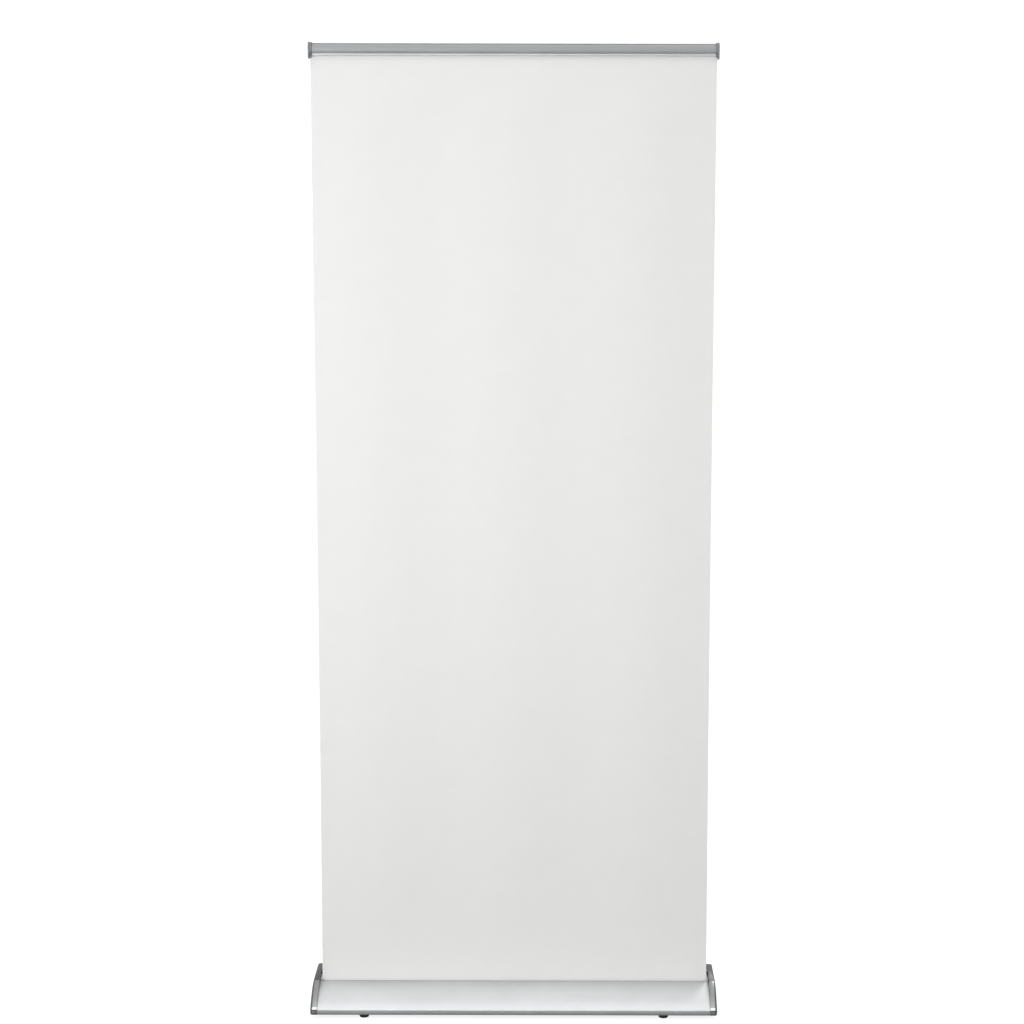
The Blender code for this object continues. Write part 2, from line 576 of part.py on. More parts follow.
# ---- assembly -----------------------------------------------------------------------------------
def build():
    for item in list(bpy.data.objects):
        bpy.data.objects.remove(item)
    silver = finish("satin_aluminium", SILVER, 1.0, 0.35)
    steel = finish("zinc_steel", STEEL, 1.0, 0.45)
    chrome = finish("bright_trim", CHROME, 1.0, 0.08)
    charcoal = finish("charcoal_plastic", CHARCOAL, 0.0, 0.30)
    black = finish("black_plastic", BLACK, 0.0, 0.50)
    rubber = finish("foot_rubber", BLACK, 0.0, 0.80)
    white = finish("printed_sheet", WHITE, 0.0, 0.60)

    make_floor_plate(steel)
    make_front_cover(silver)
    make_rear_shell(silver)
    for side, word, hole_radius in ((-1, "left", SHAFT_RADIUS + GAP), (1, "right", AXLE_RADIUS + GAP)):
        cap = make_end_cap(side, "end_cap_" + word, charcoal)
        make_trim(side, "trim_strip_" + word, chrome, cap)
        bracket = make_bracket(side, word, hole_radius, steel)
        for number, place in enumerate(SCREW_PLACES, 1):
            make_cap_screw(side, word, number, place, cap, bracket, steel)
    make_roller(silver, black, white)
    make_spring_set(steel, black)
    make_banner(white)
    for row, y in (("front", -FOOT_Y), ("rear", FOOT_Y)):
        for word, x in (("left", -FOOT_X), ("right", FOOT_X)):
            make_foot(f"{row}_{word}", x, y, steel, black, rubber)

    lower_top = POLE_BOTTOM + POLE_LENGTH
    middle_top = MIDDLE_BOTTOM + POLE_LENGTH
    middle = make_frame("pole_middle_frame", (0, POLE_Y, MIDDLE_BOTTOM))
    upper = make_frame("pole_upper_frame", (0, POLE_Y, UPPER_BOTTOM))
    lower_lever = make_frame("clamp_axis_lower", (0, POLE_Y + LOWER_RADIUS + 0.008, lower_top))
    upper_lever = make_frame("clamp_axis_upper", (0, POLE_Y + MIDDLE_RADIUS + 0.008, middle_top))
    jaw_axis = make_frame("jaw_axis", (0, BANNER_Y + BEAD_CENTRE[0], RAIL_BOTTOM + BEAD_CENTRE[1]))
    make_socket(black)
    make_pole_tube("pole_lower", LOWER_RADIUS, POLE_BOTTOM, silver, None)
    make_pole_tube("pole_middle", MIDDLE_RADIUS, MIDDLE_BOTTOM, silver, middle)
    make_pole_tube("pole_upper", UPPER_RADIUS, UPPER_BOTTOM, silver, upper)
    make_glide("glide_middle", LOWER_RADIUS - POLE_WALL, MIDDLE_RADIUS, MIDDLE_BOTTOM, black, middle)
    make_glide("glide_upper", MIDDLE_RADIUS - POLE_WALL, UPPER_RADIUS, UPPER_BOTTOM, black, upper)
    make_clamp("lower", LOWER_RADIUS, MIDDLE_RADIUS, lower_top, black, steel, None, lower_lever)
    make_clamp("upper", MIDDLE_RADIUS, UPPER_RADIUS, middle_top, black, steel, middle, upper_lever)
    make_pole_head(black, upper)
    make_rail(silver, charcoal, upper, jaw_axis)


build()
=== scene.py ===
"""Roll-up banner stand, dressed for a studio: the visible pieces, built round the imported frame.

Metres, +Z up. X runs along the base and the printed face looks along -Y. Places come from the frame's
own boxes, and the sizes that a box can't give are the named values below.
"""
import json
import math

import bmesh
import bpy
from mathutils import Matrix, Vector


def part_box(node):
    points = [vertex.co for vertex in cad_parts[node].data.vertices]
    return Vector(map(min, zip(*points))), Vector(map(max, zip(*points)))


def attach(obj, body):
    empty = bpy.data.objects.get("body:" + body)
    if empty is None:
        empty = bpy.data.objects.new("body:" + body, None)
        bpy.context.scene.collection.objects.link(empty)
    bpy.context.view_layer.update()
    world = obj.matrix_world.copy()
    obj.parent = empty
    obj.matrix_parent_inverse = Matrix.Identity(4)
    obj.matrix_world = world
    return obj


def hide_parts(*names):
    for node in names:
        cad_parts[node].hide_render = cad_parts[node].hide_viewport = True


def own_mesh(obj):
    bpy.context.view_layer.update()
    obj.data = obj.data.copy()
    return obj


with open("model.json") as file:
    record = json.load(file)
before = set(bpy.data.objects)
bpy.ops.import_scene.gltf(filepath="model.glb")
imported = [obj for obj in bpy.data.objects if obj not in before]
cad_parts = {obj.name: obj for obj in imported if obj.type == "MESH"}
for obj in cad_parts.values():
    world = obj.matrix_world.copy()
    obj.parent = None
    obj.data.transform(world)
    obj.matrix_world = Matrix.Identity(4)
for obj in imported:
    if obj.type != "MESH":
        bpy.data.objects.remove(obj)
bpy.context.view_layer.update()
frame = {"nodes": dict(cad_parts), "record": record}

# ---- sizes --------------------------------------------------------------------------------------
MM = 0.001
GAP = 0.3 * MM              # clearance between pieces that touch
WALL = 2.0 * MM             # extrusion wall

COVER_LOW, COVER_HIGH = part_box("front_cover")
SHELL_LOW, SHELL_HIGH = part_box("rear_shell")
CAP_LOW, CAP_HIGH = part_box("end_cap_right")
SHEET_LOW, SHEET_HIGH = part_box("banner_panel")
BACK_LOW, BACK_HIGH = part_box("rail_back")
PLATE_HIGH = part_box("rail_cap_right")[1]
ROLL_LOW, ROLL_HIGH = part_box("roller_tube")
SOCKET_LOW, SOCKET_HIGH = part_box("pole_socket")

LIP_TOP = 19.7 * MM         # top of the upright front lip
SLOT_Z = 57.0 * MM          # front edge of the slot
SHEET_Y = (SHEET_LOW.y + SHEET_HIGH.y) / 2
SHEET_THICK = 0.4 * MM
SIDE_HOLLOW = 1.2 * MM      # how far the sheet's long sides pull in halfway up
HELD = 32.0 * MM            # length beyond the slot and the rail that stays flat as the sheet shortens
RIPPLE = 1.5 * MM           # long upright ripples in the stretched film
RIPPLE_LENGTH = 0.29
CREASE = 0.22 * MM          # closer ones, which fan out under the rail
CREASE_LENGTH = 0.125
RAIL_BOTTOM = BACK_LOW.z
BEAD_CENTRE = (-1.8 * MM, 24.0 * MM)    # axis of the front half: (behind the sheet, over the lower edge)
BEAD_RADIUS = 1.5 * MM
POLE_Y = (SOCKET_LOW.y + SOCKET_HIGH.y) / 2
ROLL_CENTRE = (ROLL_LOW + ROLL_HIGH) / 2
SCREW_PLACES = ((-24.0 * MM, 28.0 * MM), (27.0 * MM, 40.0 * MM))
CORNERS = ("front_left", "front_right", "rear_left", "rear_right")
EAR_HEIGHT = 6.0 * MM       # each of the two ears on a clamp collar
PIN_HOLE = 1.5 * MM         # radius of the hole for a clamp pin


# ---- camera, light and backdrop -----------------------------------------------------------------
def place_camera():
    """A short telephoto, five metres off and above head height, tipped down over the whole stand."""
    tipped_deg, rolled_deg = 8.766, 0.134
    data = bpy.data.cameras.new("camera")
    data.sensor_width = 36.0
    data.lens = 84.375
    data.shift_x = -0.0477
    data.clip_end = 60.0
    item = bpy.data.objects.new("camera", data)
    item.location = (0.1004, -5.1061, 1.8918)
    tip = Matrix.Rotation(math.radians(90 - tipped_deg), 3, "X")
    roll = Matrix.Rotation(math.radians(rolled_deg), 3, "Z")
    item.rotation_euler = (tip @ roll).to_euler()
    bpy.context.scene.collection.objects.link(item)
    bpy.context.scene.camera = item


def hang_softbox(name, place, target, size, watts, spread_deg=180):
    data = bpy.data.lights.new(name, "AREA")
    data.shape = "RECTANGLE"
    data.spread = math.radians(spread_deg)
    data.size, data.size_y = size
    data.energy = watts
    item = bpy.data.objects.new(name, data)
    item.location = place
    item.rotation_euler = (Vector(target) - Vector(place)).to_track_quat("-Z", "Y").to_euler()
    item.visible_camera = False
    bpy.context.scene.collection.objects.link(item)


def add_node(tree, kind, inputs=None, **settings):
    """One node: its settings, then its inputs, each given as a value or as the socket that feeds it."""
    made = tree.nodes.new(kind)
    for key, value in settings.items():
        setattr(made, key, value)
    for key, value in (inputs or {}).items():
        if isinstance(value, bpy.types.NodeSocket):
            tree.links.new(value, made.inputs[key])
        else:
            made.inputs[key].default_value = value
    return made


def light_room():
    """White to look at, but dimmer in what the metal reflects: paler above and in front than behind."""
    world = bpy.data.worlds.new("studio")
    bpy.context.scene.world = world
    world.use_nodes = True
    tree = world.node_tree
    tree.nodes.clear()
    towards = add_node(tree, "ShaderNodeTexCoord").outputs["Generated"]
    part = add_node(tree, "ShaderNodeSeparateXYZ", {"Vector": towards})
    height = add_node(tree, "ShaderNodeMapRange", {"Value": part.outputs["Z"], "From Min": 0.0,
                                                   "From Max": 1.0, "To Min": 0.60, "To Max": 1.12})
    depth = add_node(tree, "ShaderNodeMapRange", {"Value": part.outputs["Y"], "From Min": -0.7,
                                                  "From Max": 0.8, "To Min": 1.0, "To Max": 0.90})
    both = add_node(tree, "ShaderNodeMath", {0: height.outputs[0], 1: depth.outputs[0]},
                    operation="MULTIPLY")
    room = add_node(tree, "ShaderNodeBackground", {"Strength": both.outputs[0]})
    paper = add_node(tree, "ShaderNodeBackground", {"Color": (1, 1, 1, 1), "Strength": 1.05})
    seen = add_node(tree, "ShaderNodeLightPath").outputs["Is Camera Ray"]
    mixed = add_node(tree, "ShaderNodeMixShader", {0: seen, 1: room.outputs[0], 2: paper.outputs[0]})
    add_node(tree, "ShaderNodeOutputWorld", {"Surface": mixed.outputs[0]})
    hang_softbox("key_light", (-3.0, -3.4, 1.8), (0, 0, 1.20), (1.5, 1.5), 20, 80)
    hang_softbox("front_light", (0, -4.5, 1.9), (0, 0, 1.35), (2.0, 1.2), 5.0, 80)
    hang_softbox("overhead_light", (0, -1.1, 3.4), (0, -0.9, 0), (3.2, 1.4), 9)
    hang_softbox("rear_light", (1.8, 2.6, 2.6), (0, 0, 1.0), (1.6, 1.6), 30)
    bpy.context.scene.view_settings.view_transform = "Standard"


def lay_floor():
    """Plain pale floor, far wider than the view."""
    material = bpy.data.materials.new("studio_floor")
    material.use_nodes = True
    tree = material.node_tree
    shader = tree.nodes["Principled BSDF"]
    shader.inputs["Base Color"].default_value = (0.40, 0.40, 0.40, 1)
    shader.inputs["Roughness"].default_value = 0.5
    shader.inputs["Specular IOR Level"].default_value = 0.2
    shader.inputs["Emission Color"].default_value = (1, 1, 1, 1)
    seen = add_node(tree, "ShaderNodeLightPath").outputs["Is Camera Ray"]
    glow = add_node(tree, "ShaderNodeMath", {0: seen, 1: 0.80}, operation="MULTIPLY")
    tree.links.new(glow.outputs[0], shader.inputs["Emission Strength"])
    sheet = bmesh.new()
    bmesh.ops.create_grid(sheet, x_segments=1, y_segments=1, size=15.0)
    mesh = bpy.data.meshes.new("floor")
    sheet.to_mesh(mesh)
    sheet.free()
    mesh.materials.append(material)
    floor = bpy.data.objects.new("floor", mesh)
    bpy.context.scene.collection.objects.link(floor)


# ---- materials ----------------------------------------------------------------------------------
def linear(hex_colour):
    """An sRGB hex colour as the linear values that a shader takes."""
    parts = [int(hex_colour[i:i + 2], 16) / 255 for i in (1, 3, 5)]
    return tuple(c / 12.92 if c <= 0.04045 else ((c + 0.055) / 1.055) ** 2.4 for c in parts) + (1.0,)


def cells(size_mm):
    """Texture scale that makes one cell of a pattern this many millimetres across."""
    return 1000 / size_mm


# die lines along an extrusion, drawn coarser than real ones so that they show
ALONG_X = (cells(400), cells(1.4), cells(1.4))


def start_material(name, metallic=0.0):
    material = bpy.data.materials.new(name)
    material.use_nodes = True
    tree = material.node_tree
    shader = tree.nodes["Principled BSDF"]
    shader.inputs["Metallic"].default_value = metallic
    coords = add_node(tree, "ShaderNodeTexCoord").outputs["Object"]
    return material, tree, shader, coords


def join_up(tree, shader, factor, colours, roughness, height, bump_mm, strength=1.0):
    """Let one pattern drive the colour and the roughness, and another the relief."""
    tone = add_node(tree, "ShaderNodeMix", {0: factor, 6: linear(colours[0]), 7: linear(colours[1])},
                    data_type="RGBA")
    gloss = add_node(tree, "ShaderNodeMapRange", {"Value": factor, "To Min": roughness[0],
                                                  "To Max": roughness[1]})
    relief = add_node(tree, "ShaderNodeBump", {"Height": height, "Distance": bump_mm * MM,
                                               "Strength": strength})
    tree.links.new(tone.outputs[2], shader.inputs["Base Color"])
    tree.links.new(gloss.outputs[0], shader.inputs["Roughness"])
    tree.links.new(relief.outputs[0], shader.inputs["Normal"])


def tint(tree, shader, level):
    """Multiply the colour that the shader has by a level."""
    colour = shader.inputs["Base Color"].links[0].from_socket
    scaled = add_node(tree, "ShaderNodeVectorMath", {0: colour, "Scale": level}, operation="SCALE")
    tree.links.new(scaled.outputs[0], shader.inputs["Base Color"])


def tint_by_height(tree, shader, coords, stops, base=0.0):
    """Multiply the colour by a level that runs from stop to stop, each (millimetres over a base, level)."""
    height = add_node(tree, "ShaderNodeSeparateXYZ", {"Vector": coords}).outputs["Z"]
    level = stops[0][1]
    for (low, before), (high, after) in zip(stops, stops[1:]):
        step = add_node(tree, "ShaderNodeMapRange", {"Value": height, "From Min": base + low * MM,
                                                     "From Max": base + high * MM,
                                                     "To Min": 0.0, "To Max": after - before})
        level = add_node(tree, "ShaderNodeMath", {0: level, 1: step.outputs[0]}, operation="ADD").outputs[0]
    tint(tree, shader, level)


def anodised_extrusion(name, colours, roughness, line_scale):
    """Satin anodised aluminium: die lines along its length draw every reflection out across them."""
    material, tree, shader, coords = start_material(name, metallic=1.0)
    drawn = add_node(tree, "ShaderNodeMapping", {"Vector": coords, "Scale": line_scale})
    lines = add_node(tree, "ShaderNodeTexNoise", {"Vector": drawn.outputs[0], "Scale": 1.0,
                                                  "Detail": 5.0, "Roughness": 0.62})
    bloom = add_node(tree, "ShaderNodeTexNoise", {"Vector": coords, "Scale": cells(70),
                                                  "Detail": 3.0, "Roughness": 0.5})
    both = add_node(tree, "ShaderNodeMath", {0: lines.outputs[0], 1: bloom.outputs[0]},
                    operation="MULTIPLY")
    spread = add_node(tree, "ShaderNodeMapRange", {"Value": both.outputs[0], "From Min": 0.12,
                                                   "From Max": 0.38})
    join_up(tree, shader, spread.outputs[0], colours, roughness, lines.outputs[0], 0.05, 0.35)
    return material


def cover_finish_with_painted_shade():
    """The case's metal on the front cover, painted paler than the shell's, with painted shade beside the
    sheet and on the lip near the floor.
    """
    material = anodised_extrusion("cover_anodised_aluminium", ("#E6E7E8", "#EEEFF0"), (0.46, 0.54), ALONG_X)
    tree = material.node_tree
    shader = tree.nodes["Principled BSDF"]
    coords = add_node(tree, "ShaderNodeTexCoord").outputs["Object"]
    # painted shade: darker where the sheet and nearby parts stand within 60 mm
    near = add_node(tree, "ShaderNodeAmbientOcclusion", {"Distance": 60.0 * MM}, samples=8)
    painted_shade_near_sheet = add_node(tree, "ShaderNodeMapRange", {"Value": near.outputs["AO"], "From Min": 0.4,
                                                 "To Min": 0.60, "To Max": 1.0})
    tint(tree, shader, painted_shade_near_sheet.outputs[0])
    # painted shade: the lip darker towards the floor
    tint_by_height(tree, shader, coords, [(9.0, 0.55), (13.5, 0.85), (19.2, 0.90), (20.2, 1.0)])
    return material


def rail_finish_with_painted_highlights():
    """Darker satin metal for the rail, with painted highlights on its lower lip and its top edge."""
    material = anodised_extrusion("rail_anodised_aluminium", ("#A4A5A6", "#ACADAE"), (0.54, 0.62), ALONG_X)
    tree = material.node_tree
    coords = add_node(tree, "ShaderNodeTexCoord").outputs["Object"]
    # painted highlights: the lower lip and the top edge made brighter
    painted_highlight_stops = [(2.4, 2.0), (5.2, 1.7), (6.4, 1.5), (9.0, 1.3), (13.0, 1.0), (21.5, 1.0), (24.5, 1.5)]
    tint_by_height(tree, tree.nodes["Principled BSDF"], coords, painted_highlight_stops, RAIL_BOTTOM)
    return material


def glossy_abs(name, colours, roughness):
    """Moulded ABS with a polished skin: a faint orange peel bends the highlights, and hands dull it."""
    material, tree, shader, coords = start_material(name)
    shader.inputs["IOR"].default_value = 1.52
    peel = add_node(tree, "ShaderNodeTexNoise", {"Vector": coords, "Scale": cells(2.5), "Detail": 2.0})
    handling = add_node(tree, "ShaderNodeTexNoise", {"Vector": coords, "Scale": cells(18),
                                                     "Detail": 5.0, "Roughness": 0.65})
    patchy = add_node(tree, "ShaderNodeMapRange", {"Value": handling.outputs[0], "From Min": 0.35,
                                                   "From Max": 0.70})
    join_up(tree, shader, patchy.outputs[0], colours, roughness, peel.outputs[0], 0.03, 0.5)
    return material


def grained_plastic():
    """Black nylon from a spark-eroded mould: a fine pebbled skin that scatters light into a soft sheen."""
    material, tree, shader, coords = start_material("grained_nylon")
    shader.inputs["IOR"].default_value = 1.53
    pebbles = add_node(tree, "ShaderNodeTexVoronoi", {"Vector": coords, "Scale": cells(0.6)},
                       feature="SMOOTH_F1")
    rub = add_node(tree, "ShaderNodeTexNoise", {"Vector": coords, "Scale": cells(9), "Detail": 4.0})
    worn = add_node(tree, "ShaderNodeMapRange", {"Value": rub.outputs[0], "From Min": 0.4,
                                                 "From Max": 0.68})
    join_up(tree, shader, worn.outputs[0], ("#2E2E30", "#3C3C3E"), (0.58, 0.42),
            pebbles.outputs["Distance"], 0.08, 0.6)
    return material


def polished_trim_with_painted_light():
    """Bright-dipped aluminium strip with hairlines from the buffing wheel: it shines softly. Its colour
    carries painted light:
    a painted highlight band on the nose over a painted shadow line, painted shade towards the floor, and
    painted light on the sides that look along X."""
    material, tree, shader, coords = start_material("bright_dipped_aluminium", metallic=1.0)
    drawn = add_node(tree, "ShaderNodeMapping", {"Vector": coords,
                                                 "Scale": (cells(0.5), cells(25), cells(25))})
    hairs = add_node(tree, "ShaderNodeTexNoise", {"Vector": drawn.outputs[0], "Scale": 1.0,
                                                  "Detail": 4.0, "Roughness": 0.6})
    join_up(tree, shader, hairs.outputs[0], ("#A2A3A4", "#ACADAE"), (0.26, 0.34),
            hairs.outputs[0], 0.01, 0.3)
    # painted light on the nose: painted shade towards the floor, a painted shadow line, then a painted
    # highlight band
    nose = [(9.0, 0.35), (12.0, 0.6), (18.4, 1.0), (18.9, 0.12), (19.9, 0.12), (20.4, 2.4), (24.5, 2.4),
            (26.0, 1.0)]
    tint_by_height(tree, shader, coords, nose)
    # painted light: faces that look along X are made paler
    facing = add_node(tree, "ShaderNodeNewGeometry").outputs["Normal"]
    across = add_node(tree, "ShaderNodeSeparateXYZ", {"Vector": facing}).outputs["X"]
    side_on = add_node(tree, "ShaderNodeMath", {0: across}, operation="ABSOLUTE").outputs[0]
    painted_side_light = add_node(tree, "ShaderNodeMapRange", {"Value": side_on, "From Min": 0.5, "From Max": 0.9,
                                                 "To Min": 1.0, "To Max": 2.1})
    tint(tree, shader, painted_side_light.outputs[0])
    return material


def matt_film():
    """Coated polyester film for the print: bright, almost without gloss, with a fine woven tooth."""
    material, tree, shader, coords = start_material("matt_white_film")
    shader.inputs["IOR"].default_value = 1.45
    shader.inputs["Specular IOR Level"].default_value = 0.30
    shader.inputs["Sheen Weight"].default_value = 0.06
    across = add_node(tree, "ShaderNodeTexWave", {"Vector": coords, "Scale": cells(0.9) / 20},
                      wave_type="BANDS", bands_direction="X", wave_profile="SIN")
    along = add_node(tree, "ShaderNodeTexWave", {"Vector": coords, "Scale": cells(0.9) / 20},
                     wave_type="BANDS", bands_direction="Z", wave_profile="SIN")
    tooth = add_node(tree, "ShaderNodeMath", {0: across.outputs["Fac"], 1: along.outputs["Fac"]},
                     operation="ADD")
    mottle = add_node(tree, "ShaderNodeTexNoise", {"Vector": coords, "Scale": cells(45),
                                                   "Detail": 6.0, "Roughness": 0.55})
    join_up(tree, shader, mottle.outputs[0], ("#E6E6E5", "#EAEAE9"), (0.50, 0.62),
            tooth.outputs[0], 0.02, 0.4)
    return material


def zinc_plate():
    """Zinc-plated mild steel: dull silver with soft cloudy patches left by the passivation."""
    material, tree, shader, coords = start_material("zinc_plated_steel", metallic=1.0)
    clouds = add_node(tree, "ShaderNodeTexNoise", {"Vector": coords, "Scale": cells(16),
                                                   "Detail": 5.0, "Roughness": 0.6})
    grit = add_node(tree, "ShaderNodeTexNoise", {"Vector": coords, "Scale": cells(0.7), "Detail": 2.0})
    join_up(tree, shader, clouds.outputs[0], ("#A2A4A6", "#C3C5C7"), (0.34, 0.52),
            grit.outputs[0], 0.02, 0.4)
    return material


def turned_steel(name, colours, roughness):
    """Nickel-plated turned steel: tight tool marks ring it and streak the highlight."""
    material, tree, shader, coords = start_material(name, metallic=1.0)
    marks = add_node(tree, "ShaderNodeTexNoise", {"Vector": coords, "Scale": cells(0.4), "Detail": 3.0})
    stain = add_node(tree, "ShaderNodeTexNoise", {"Vector": coords, "Scale": cells(5), "Detail": 4.0})
    join_up(tree, shader, stain.outputs[0], colours, roughness, marks.outputs[0], 0.01, 0.4)
    return material


def foot_rubber():
    """Moulded rubber pad: black, dry and slightly dusty, with almost no highlight."""
    material, tree, shader, coords = start_material("moulded_rubber")
    shader.inputs["IOR"].default_value = 1.5
    shader.inputs["Specular IOR Level"].default_value = 0.3
    dust = add_node(tree, "ShaderNodeTexNoise", {"Vector": coords, "Scale": cells(4), "Detail": 6.0,
                                                 "Roughness": 0.7})
    pores = add_node(tree, "ShaderNodeTexNoise", {"Vector": coords, "Scale": cells(0.5), "Detail": 2.0})
    join_up(tree, shader, dust.outputs[0], ("#161616", "#2A2A29"), (0.74, 0.90),
            pores.outputs[0], 0.06, 0.6)
    return material


def make_materials():
    """One finish for each slot of the record."""
    along_z = (cells(1.2), cells(1.2), cells(400))
    return {
        "satin_aluminium": anodised_extrusion("satin_anodised_aluminium", ("#D0D1D2", "#D8D9DA"),
                                              (0.46, 0.54), ALONG_X),
        "rail_aluminium": rail_finish_with_painted_highlights(),
        "pole_aluminium": anodised_extrusion("drawn_anodised_tube", ("#BCBDBE", "#C8C9CA"),
                                             (0.28, 0.36), along_z),
        "charcoal_plastic": glossy_abs("charcoal_abs", ("#4A4B4D", "#535456"), (0.22, 0.32)),
        "grey_plastic": glossy_abs("grey_abs", ("#7E7F81", "#87888A"), (0.30, 0.40)),
        "black_plastic": grained_plastic(),
        "bright_trim": polished_trim_with_painted_light(),
        "zinc_steel": zinc_plate(),
        "screw_steel": turned_steel("nickel_plated_steel", ("#B4B4B2", "#C6C6C4"), (0.20, 0.32)),
        "spring_steel": turned_steel("oiled_spring_wire", ("#77777A", "#8E8E90"), (0.24, 0.36)),
        "printed_sheet": matt_film(),
        "foot_rubber": foot_rubber(),
    }


# ---- outlines -----------------------------------------------------------------------------------
def bezier(start, handle_a, handle_b, end, steps):
    """Points along a Bezier stretch of an outline, without its end point."""
    points = []
    for i in range(steps):
        t = i / steps
        weights = ((1 - t) ** 3, 3 * t * (1 - t) ** 2, 3 * t * t * (1 - t), t ** 3)
        knots = (start, handle_a, handle_b, end)
        points.append(tuple(sum(w * k[axis] for w, k in zip(weights, knots)) for axis in range(2)))
    return points


def arc(centre, radius, start_deg, end_deg, steps):
    """Points on an arc of an outline, both ends included."""
    angles = [math.radians(start_deg + (end_deg - start_deg) * i / steps) for i in range(steps + 1)]
    return [(centre[0] + radius * math.cos(a), centre[1] + radius * math.sin(a)) for a in angles]


def offset(points, distance, closed=False):
    """An outline moved sideways by a distance: to the left of its direction when positive."""
    moved = []
    last = len(points) - 1
    for i, point in enumerate(points):
        before = Vector(points[i - 1 if closed or i else 0])
        after = Vector(points[(i + 1) % len(points) if closed else min(i + 1, last)])
        along = (after - before).normalized()
        moved.append((point[0] - along.y * distance, point[1] + along.x * distance))
    return moved


def cover_outline():
    """Front extrusion: a lip that turns under, an eased corner, the long slope and a rolled slot edge."""
    front, low = COVER_LOW.y, COVER_LOW.z
    edge = (SHEET_Y - 2.5 * MM, SLOT_Z)
    outer = [(front + 5.0 * MM, low), (front + 1.0 * MM, low)]
    outer += arc((front + 1.0 * MM, low + 1.0 * MM), 1.0 * MM, 270, 180, 4)[1:]
    slope_foot = (front + 1.2 * MM, LIP_TOP + 1.9 * MM)
    outer += bezier((front, LIP_TOP - 1.0 * MM), (front, LIP_TOP), (front + 0.4 * MM, LIP_TOP + 1.0 * MM),
                    slope_foot, 6)
    outer += bezier(slope_foot, (-0.0880, 0.0325), (-0.0600, 0.0485), edge, 30)
    inner = offset(outer + [edge], -WALL)
    nose = arc((edge[0] - 0.2 * MM, edge[1] - 1.0 * MM), 1.0 * MM, 80, -80, 8)
    return outer + nose + inner[::-1][1:]


def crest_line(steps_a, steps_b):
    """The back of the base, from the slot over the crest and down the rear wall."""
    rear = SHELL_HIGH.y
    edge, shoulder, wall_top = (SHEET_Y + 2.8 * MM, 0.0595), (0.0720, 0.0580), (rear, 0.0300)
    crest = bezier(edge, (0.0080, 0.0640), (0.0480, 0.0652), shoulder, steps_a)
    corner = bezier(shoulder, (0.0900, 0.0525), (rear, 0.0455), wall_top, steps_b)
    return crest + corner + [wall_top]


def shell_outline():
    """Rear extrusion: its front edge is rolled over the slot and its foot turns under."""
    rear, low = SHELL_HIGH.y, SHELL_LOW.z
    outer = crest_line(24, 16)
    outer += arc((rear - 1.0 * MM, low + 1.0 * MM), 1.0 * MM, 0, -90, 4)
    outer += [(rear - 5.0 * MM, low)]
    inner = offset(outer, -WALL)
    lip = arc((outer[0][0] + 0.2 * MM, outer[0][1] - 1.0 * MM), 1.0 * MM, 260, 100, 8)
    return lip + outer[1:] + inner[::-1][:-1]


def cap_outline():
    """Side view of an end cap: one smooth hump that stands above both extrusions."""
    front, rear, low = CAP_LOW.y, CAP_HIGH.y, CAP_LOW.z
    nose, slope_top = (front, LIP_TOP + 1.0 * MM), (-0.0300, 0.0625)
    shoulder, wall_top = (0.0720, 0.0665), (rear, 0.0300)
    foot = 4.0 * MM
    outline = arc((front + foot, low + foot), foot, 270, 180, 6)
    outline += bezier(nose, (-0.0900, 0.0345), (-0.0620, 0.0530), slope_top, 20)
    outline += bezier(slope_top, (0.0020, 0.0720), (0.0450, 0.0745), shoulder, 20)
    outline += bezier(shoulder, (0.0930, 0.0600), (rear, 0.0500), wall_top, 16) + [wall_top]
    outline += arc((rear - foot, low + foot), foot, 0, -90, 6)
    return outline


# ---- shape helpers ------------------------------------------------------------------------------
def ring_of(solid, outline, along, axis):
    """One outline as a ring of corners, at a distance along an axis."""
    if axis == "X":
        return [solid.verts.new((along, a, b)) for a, b in outline]
    return [solid.verts.new((a, b, along)) for a, b in outline]


def skin(solid, rings, closed_ends=True):
    """Walls between rings of corners, and a face over each end."""
    for near, far in zip(rings, rings[1:]):
        count = len(near)
        for i in range(count):
            solid.faces.new((near[i], near[(i + 1) % count], far[(i + 1) % count], far[i]))
    if closed_ends:
        solid.faces.new(rings[0])
        solid.faces.new(rings[-1])
    return solid


def drawn(outline, low, high, axis="X", ease=0.0):
    """A bmesh of an outline drawn out along an axis, its end edges eased by a small chamfer."""
    solid = bmesh.new()
    rings = [ring_of(solid, outline, low + ease, axis), ring_of(solid, outline, high - ease, axis)]
    if ease:
        area = sum(a[0] * b[1] - b[0] * a[1] for a, b in zip(outline, outline[1:] + outline[:1]))
        shrunk = offset(outline, ease if area > 0 else -ease, closed=True)
        rings.insert(0, ring_of(solid, shrunk, low, axis))
        rings.append(ring_of(solid, shrunk, high, axis))
    return skin(solid, rings)


def turned(outline, sides, axis="Z"):
    """A bmesh turned about an axis from a closed outline of (radius, height)."""
    solid = bmesh.new()
    rings = []
    for i in range(sides):
        angle = 2 * math.pi * i / sides
        rings.append([solid.verts.new((r * math.cos(angle), r * math.sin(angle), h)) for r, h in outline])
    skin(solid, rings + rings[:1], closed_ends=False)
    bmesh.ops.remove_doubles(solid, verts=solid.verts, dist=1e-6)
    if axis == "X":
        bmesh.ops.rotate(solid, verts=solid.verts, matrix=Matrix.Rotation(math.pi / 2, 3, "Y"))
    return solid


def moved(solid, place):
    bmesh.ops.translate(solid, vec=place, verts=solid.verts)
    return solid


def mirrored(solid, side):
    """The same shape for the left end when side is -1."""
    if side < 0:
        bmesh.ops.scale(solid, vec=(-1, 1, 1), verts=solid.verts)
    return solid


def to_object(name, solid, sharp_deg=32):
    bmesh.ops.remove_doubles(solid, verts=solid.verts, dist=1e-7)
    bmesh.ops.recalc_face_normals(solid, faces=solid.faces)
    mesh = bpy.data.meshes.new(name)
    solid.to_mesh(mesh)
    solid.free()
    mesh.shade_smooth()
    mesh.set_sharp_from_angle(angle=math.radians(sharp_deg))
    item = bpy.data.objects.new(name, mesh)
    bpy.context.scene.collection.objects.link(item)
    return item


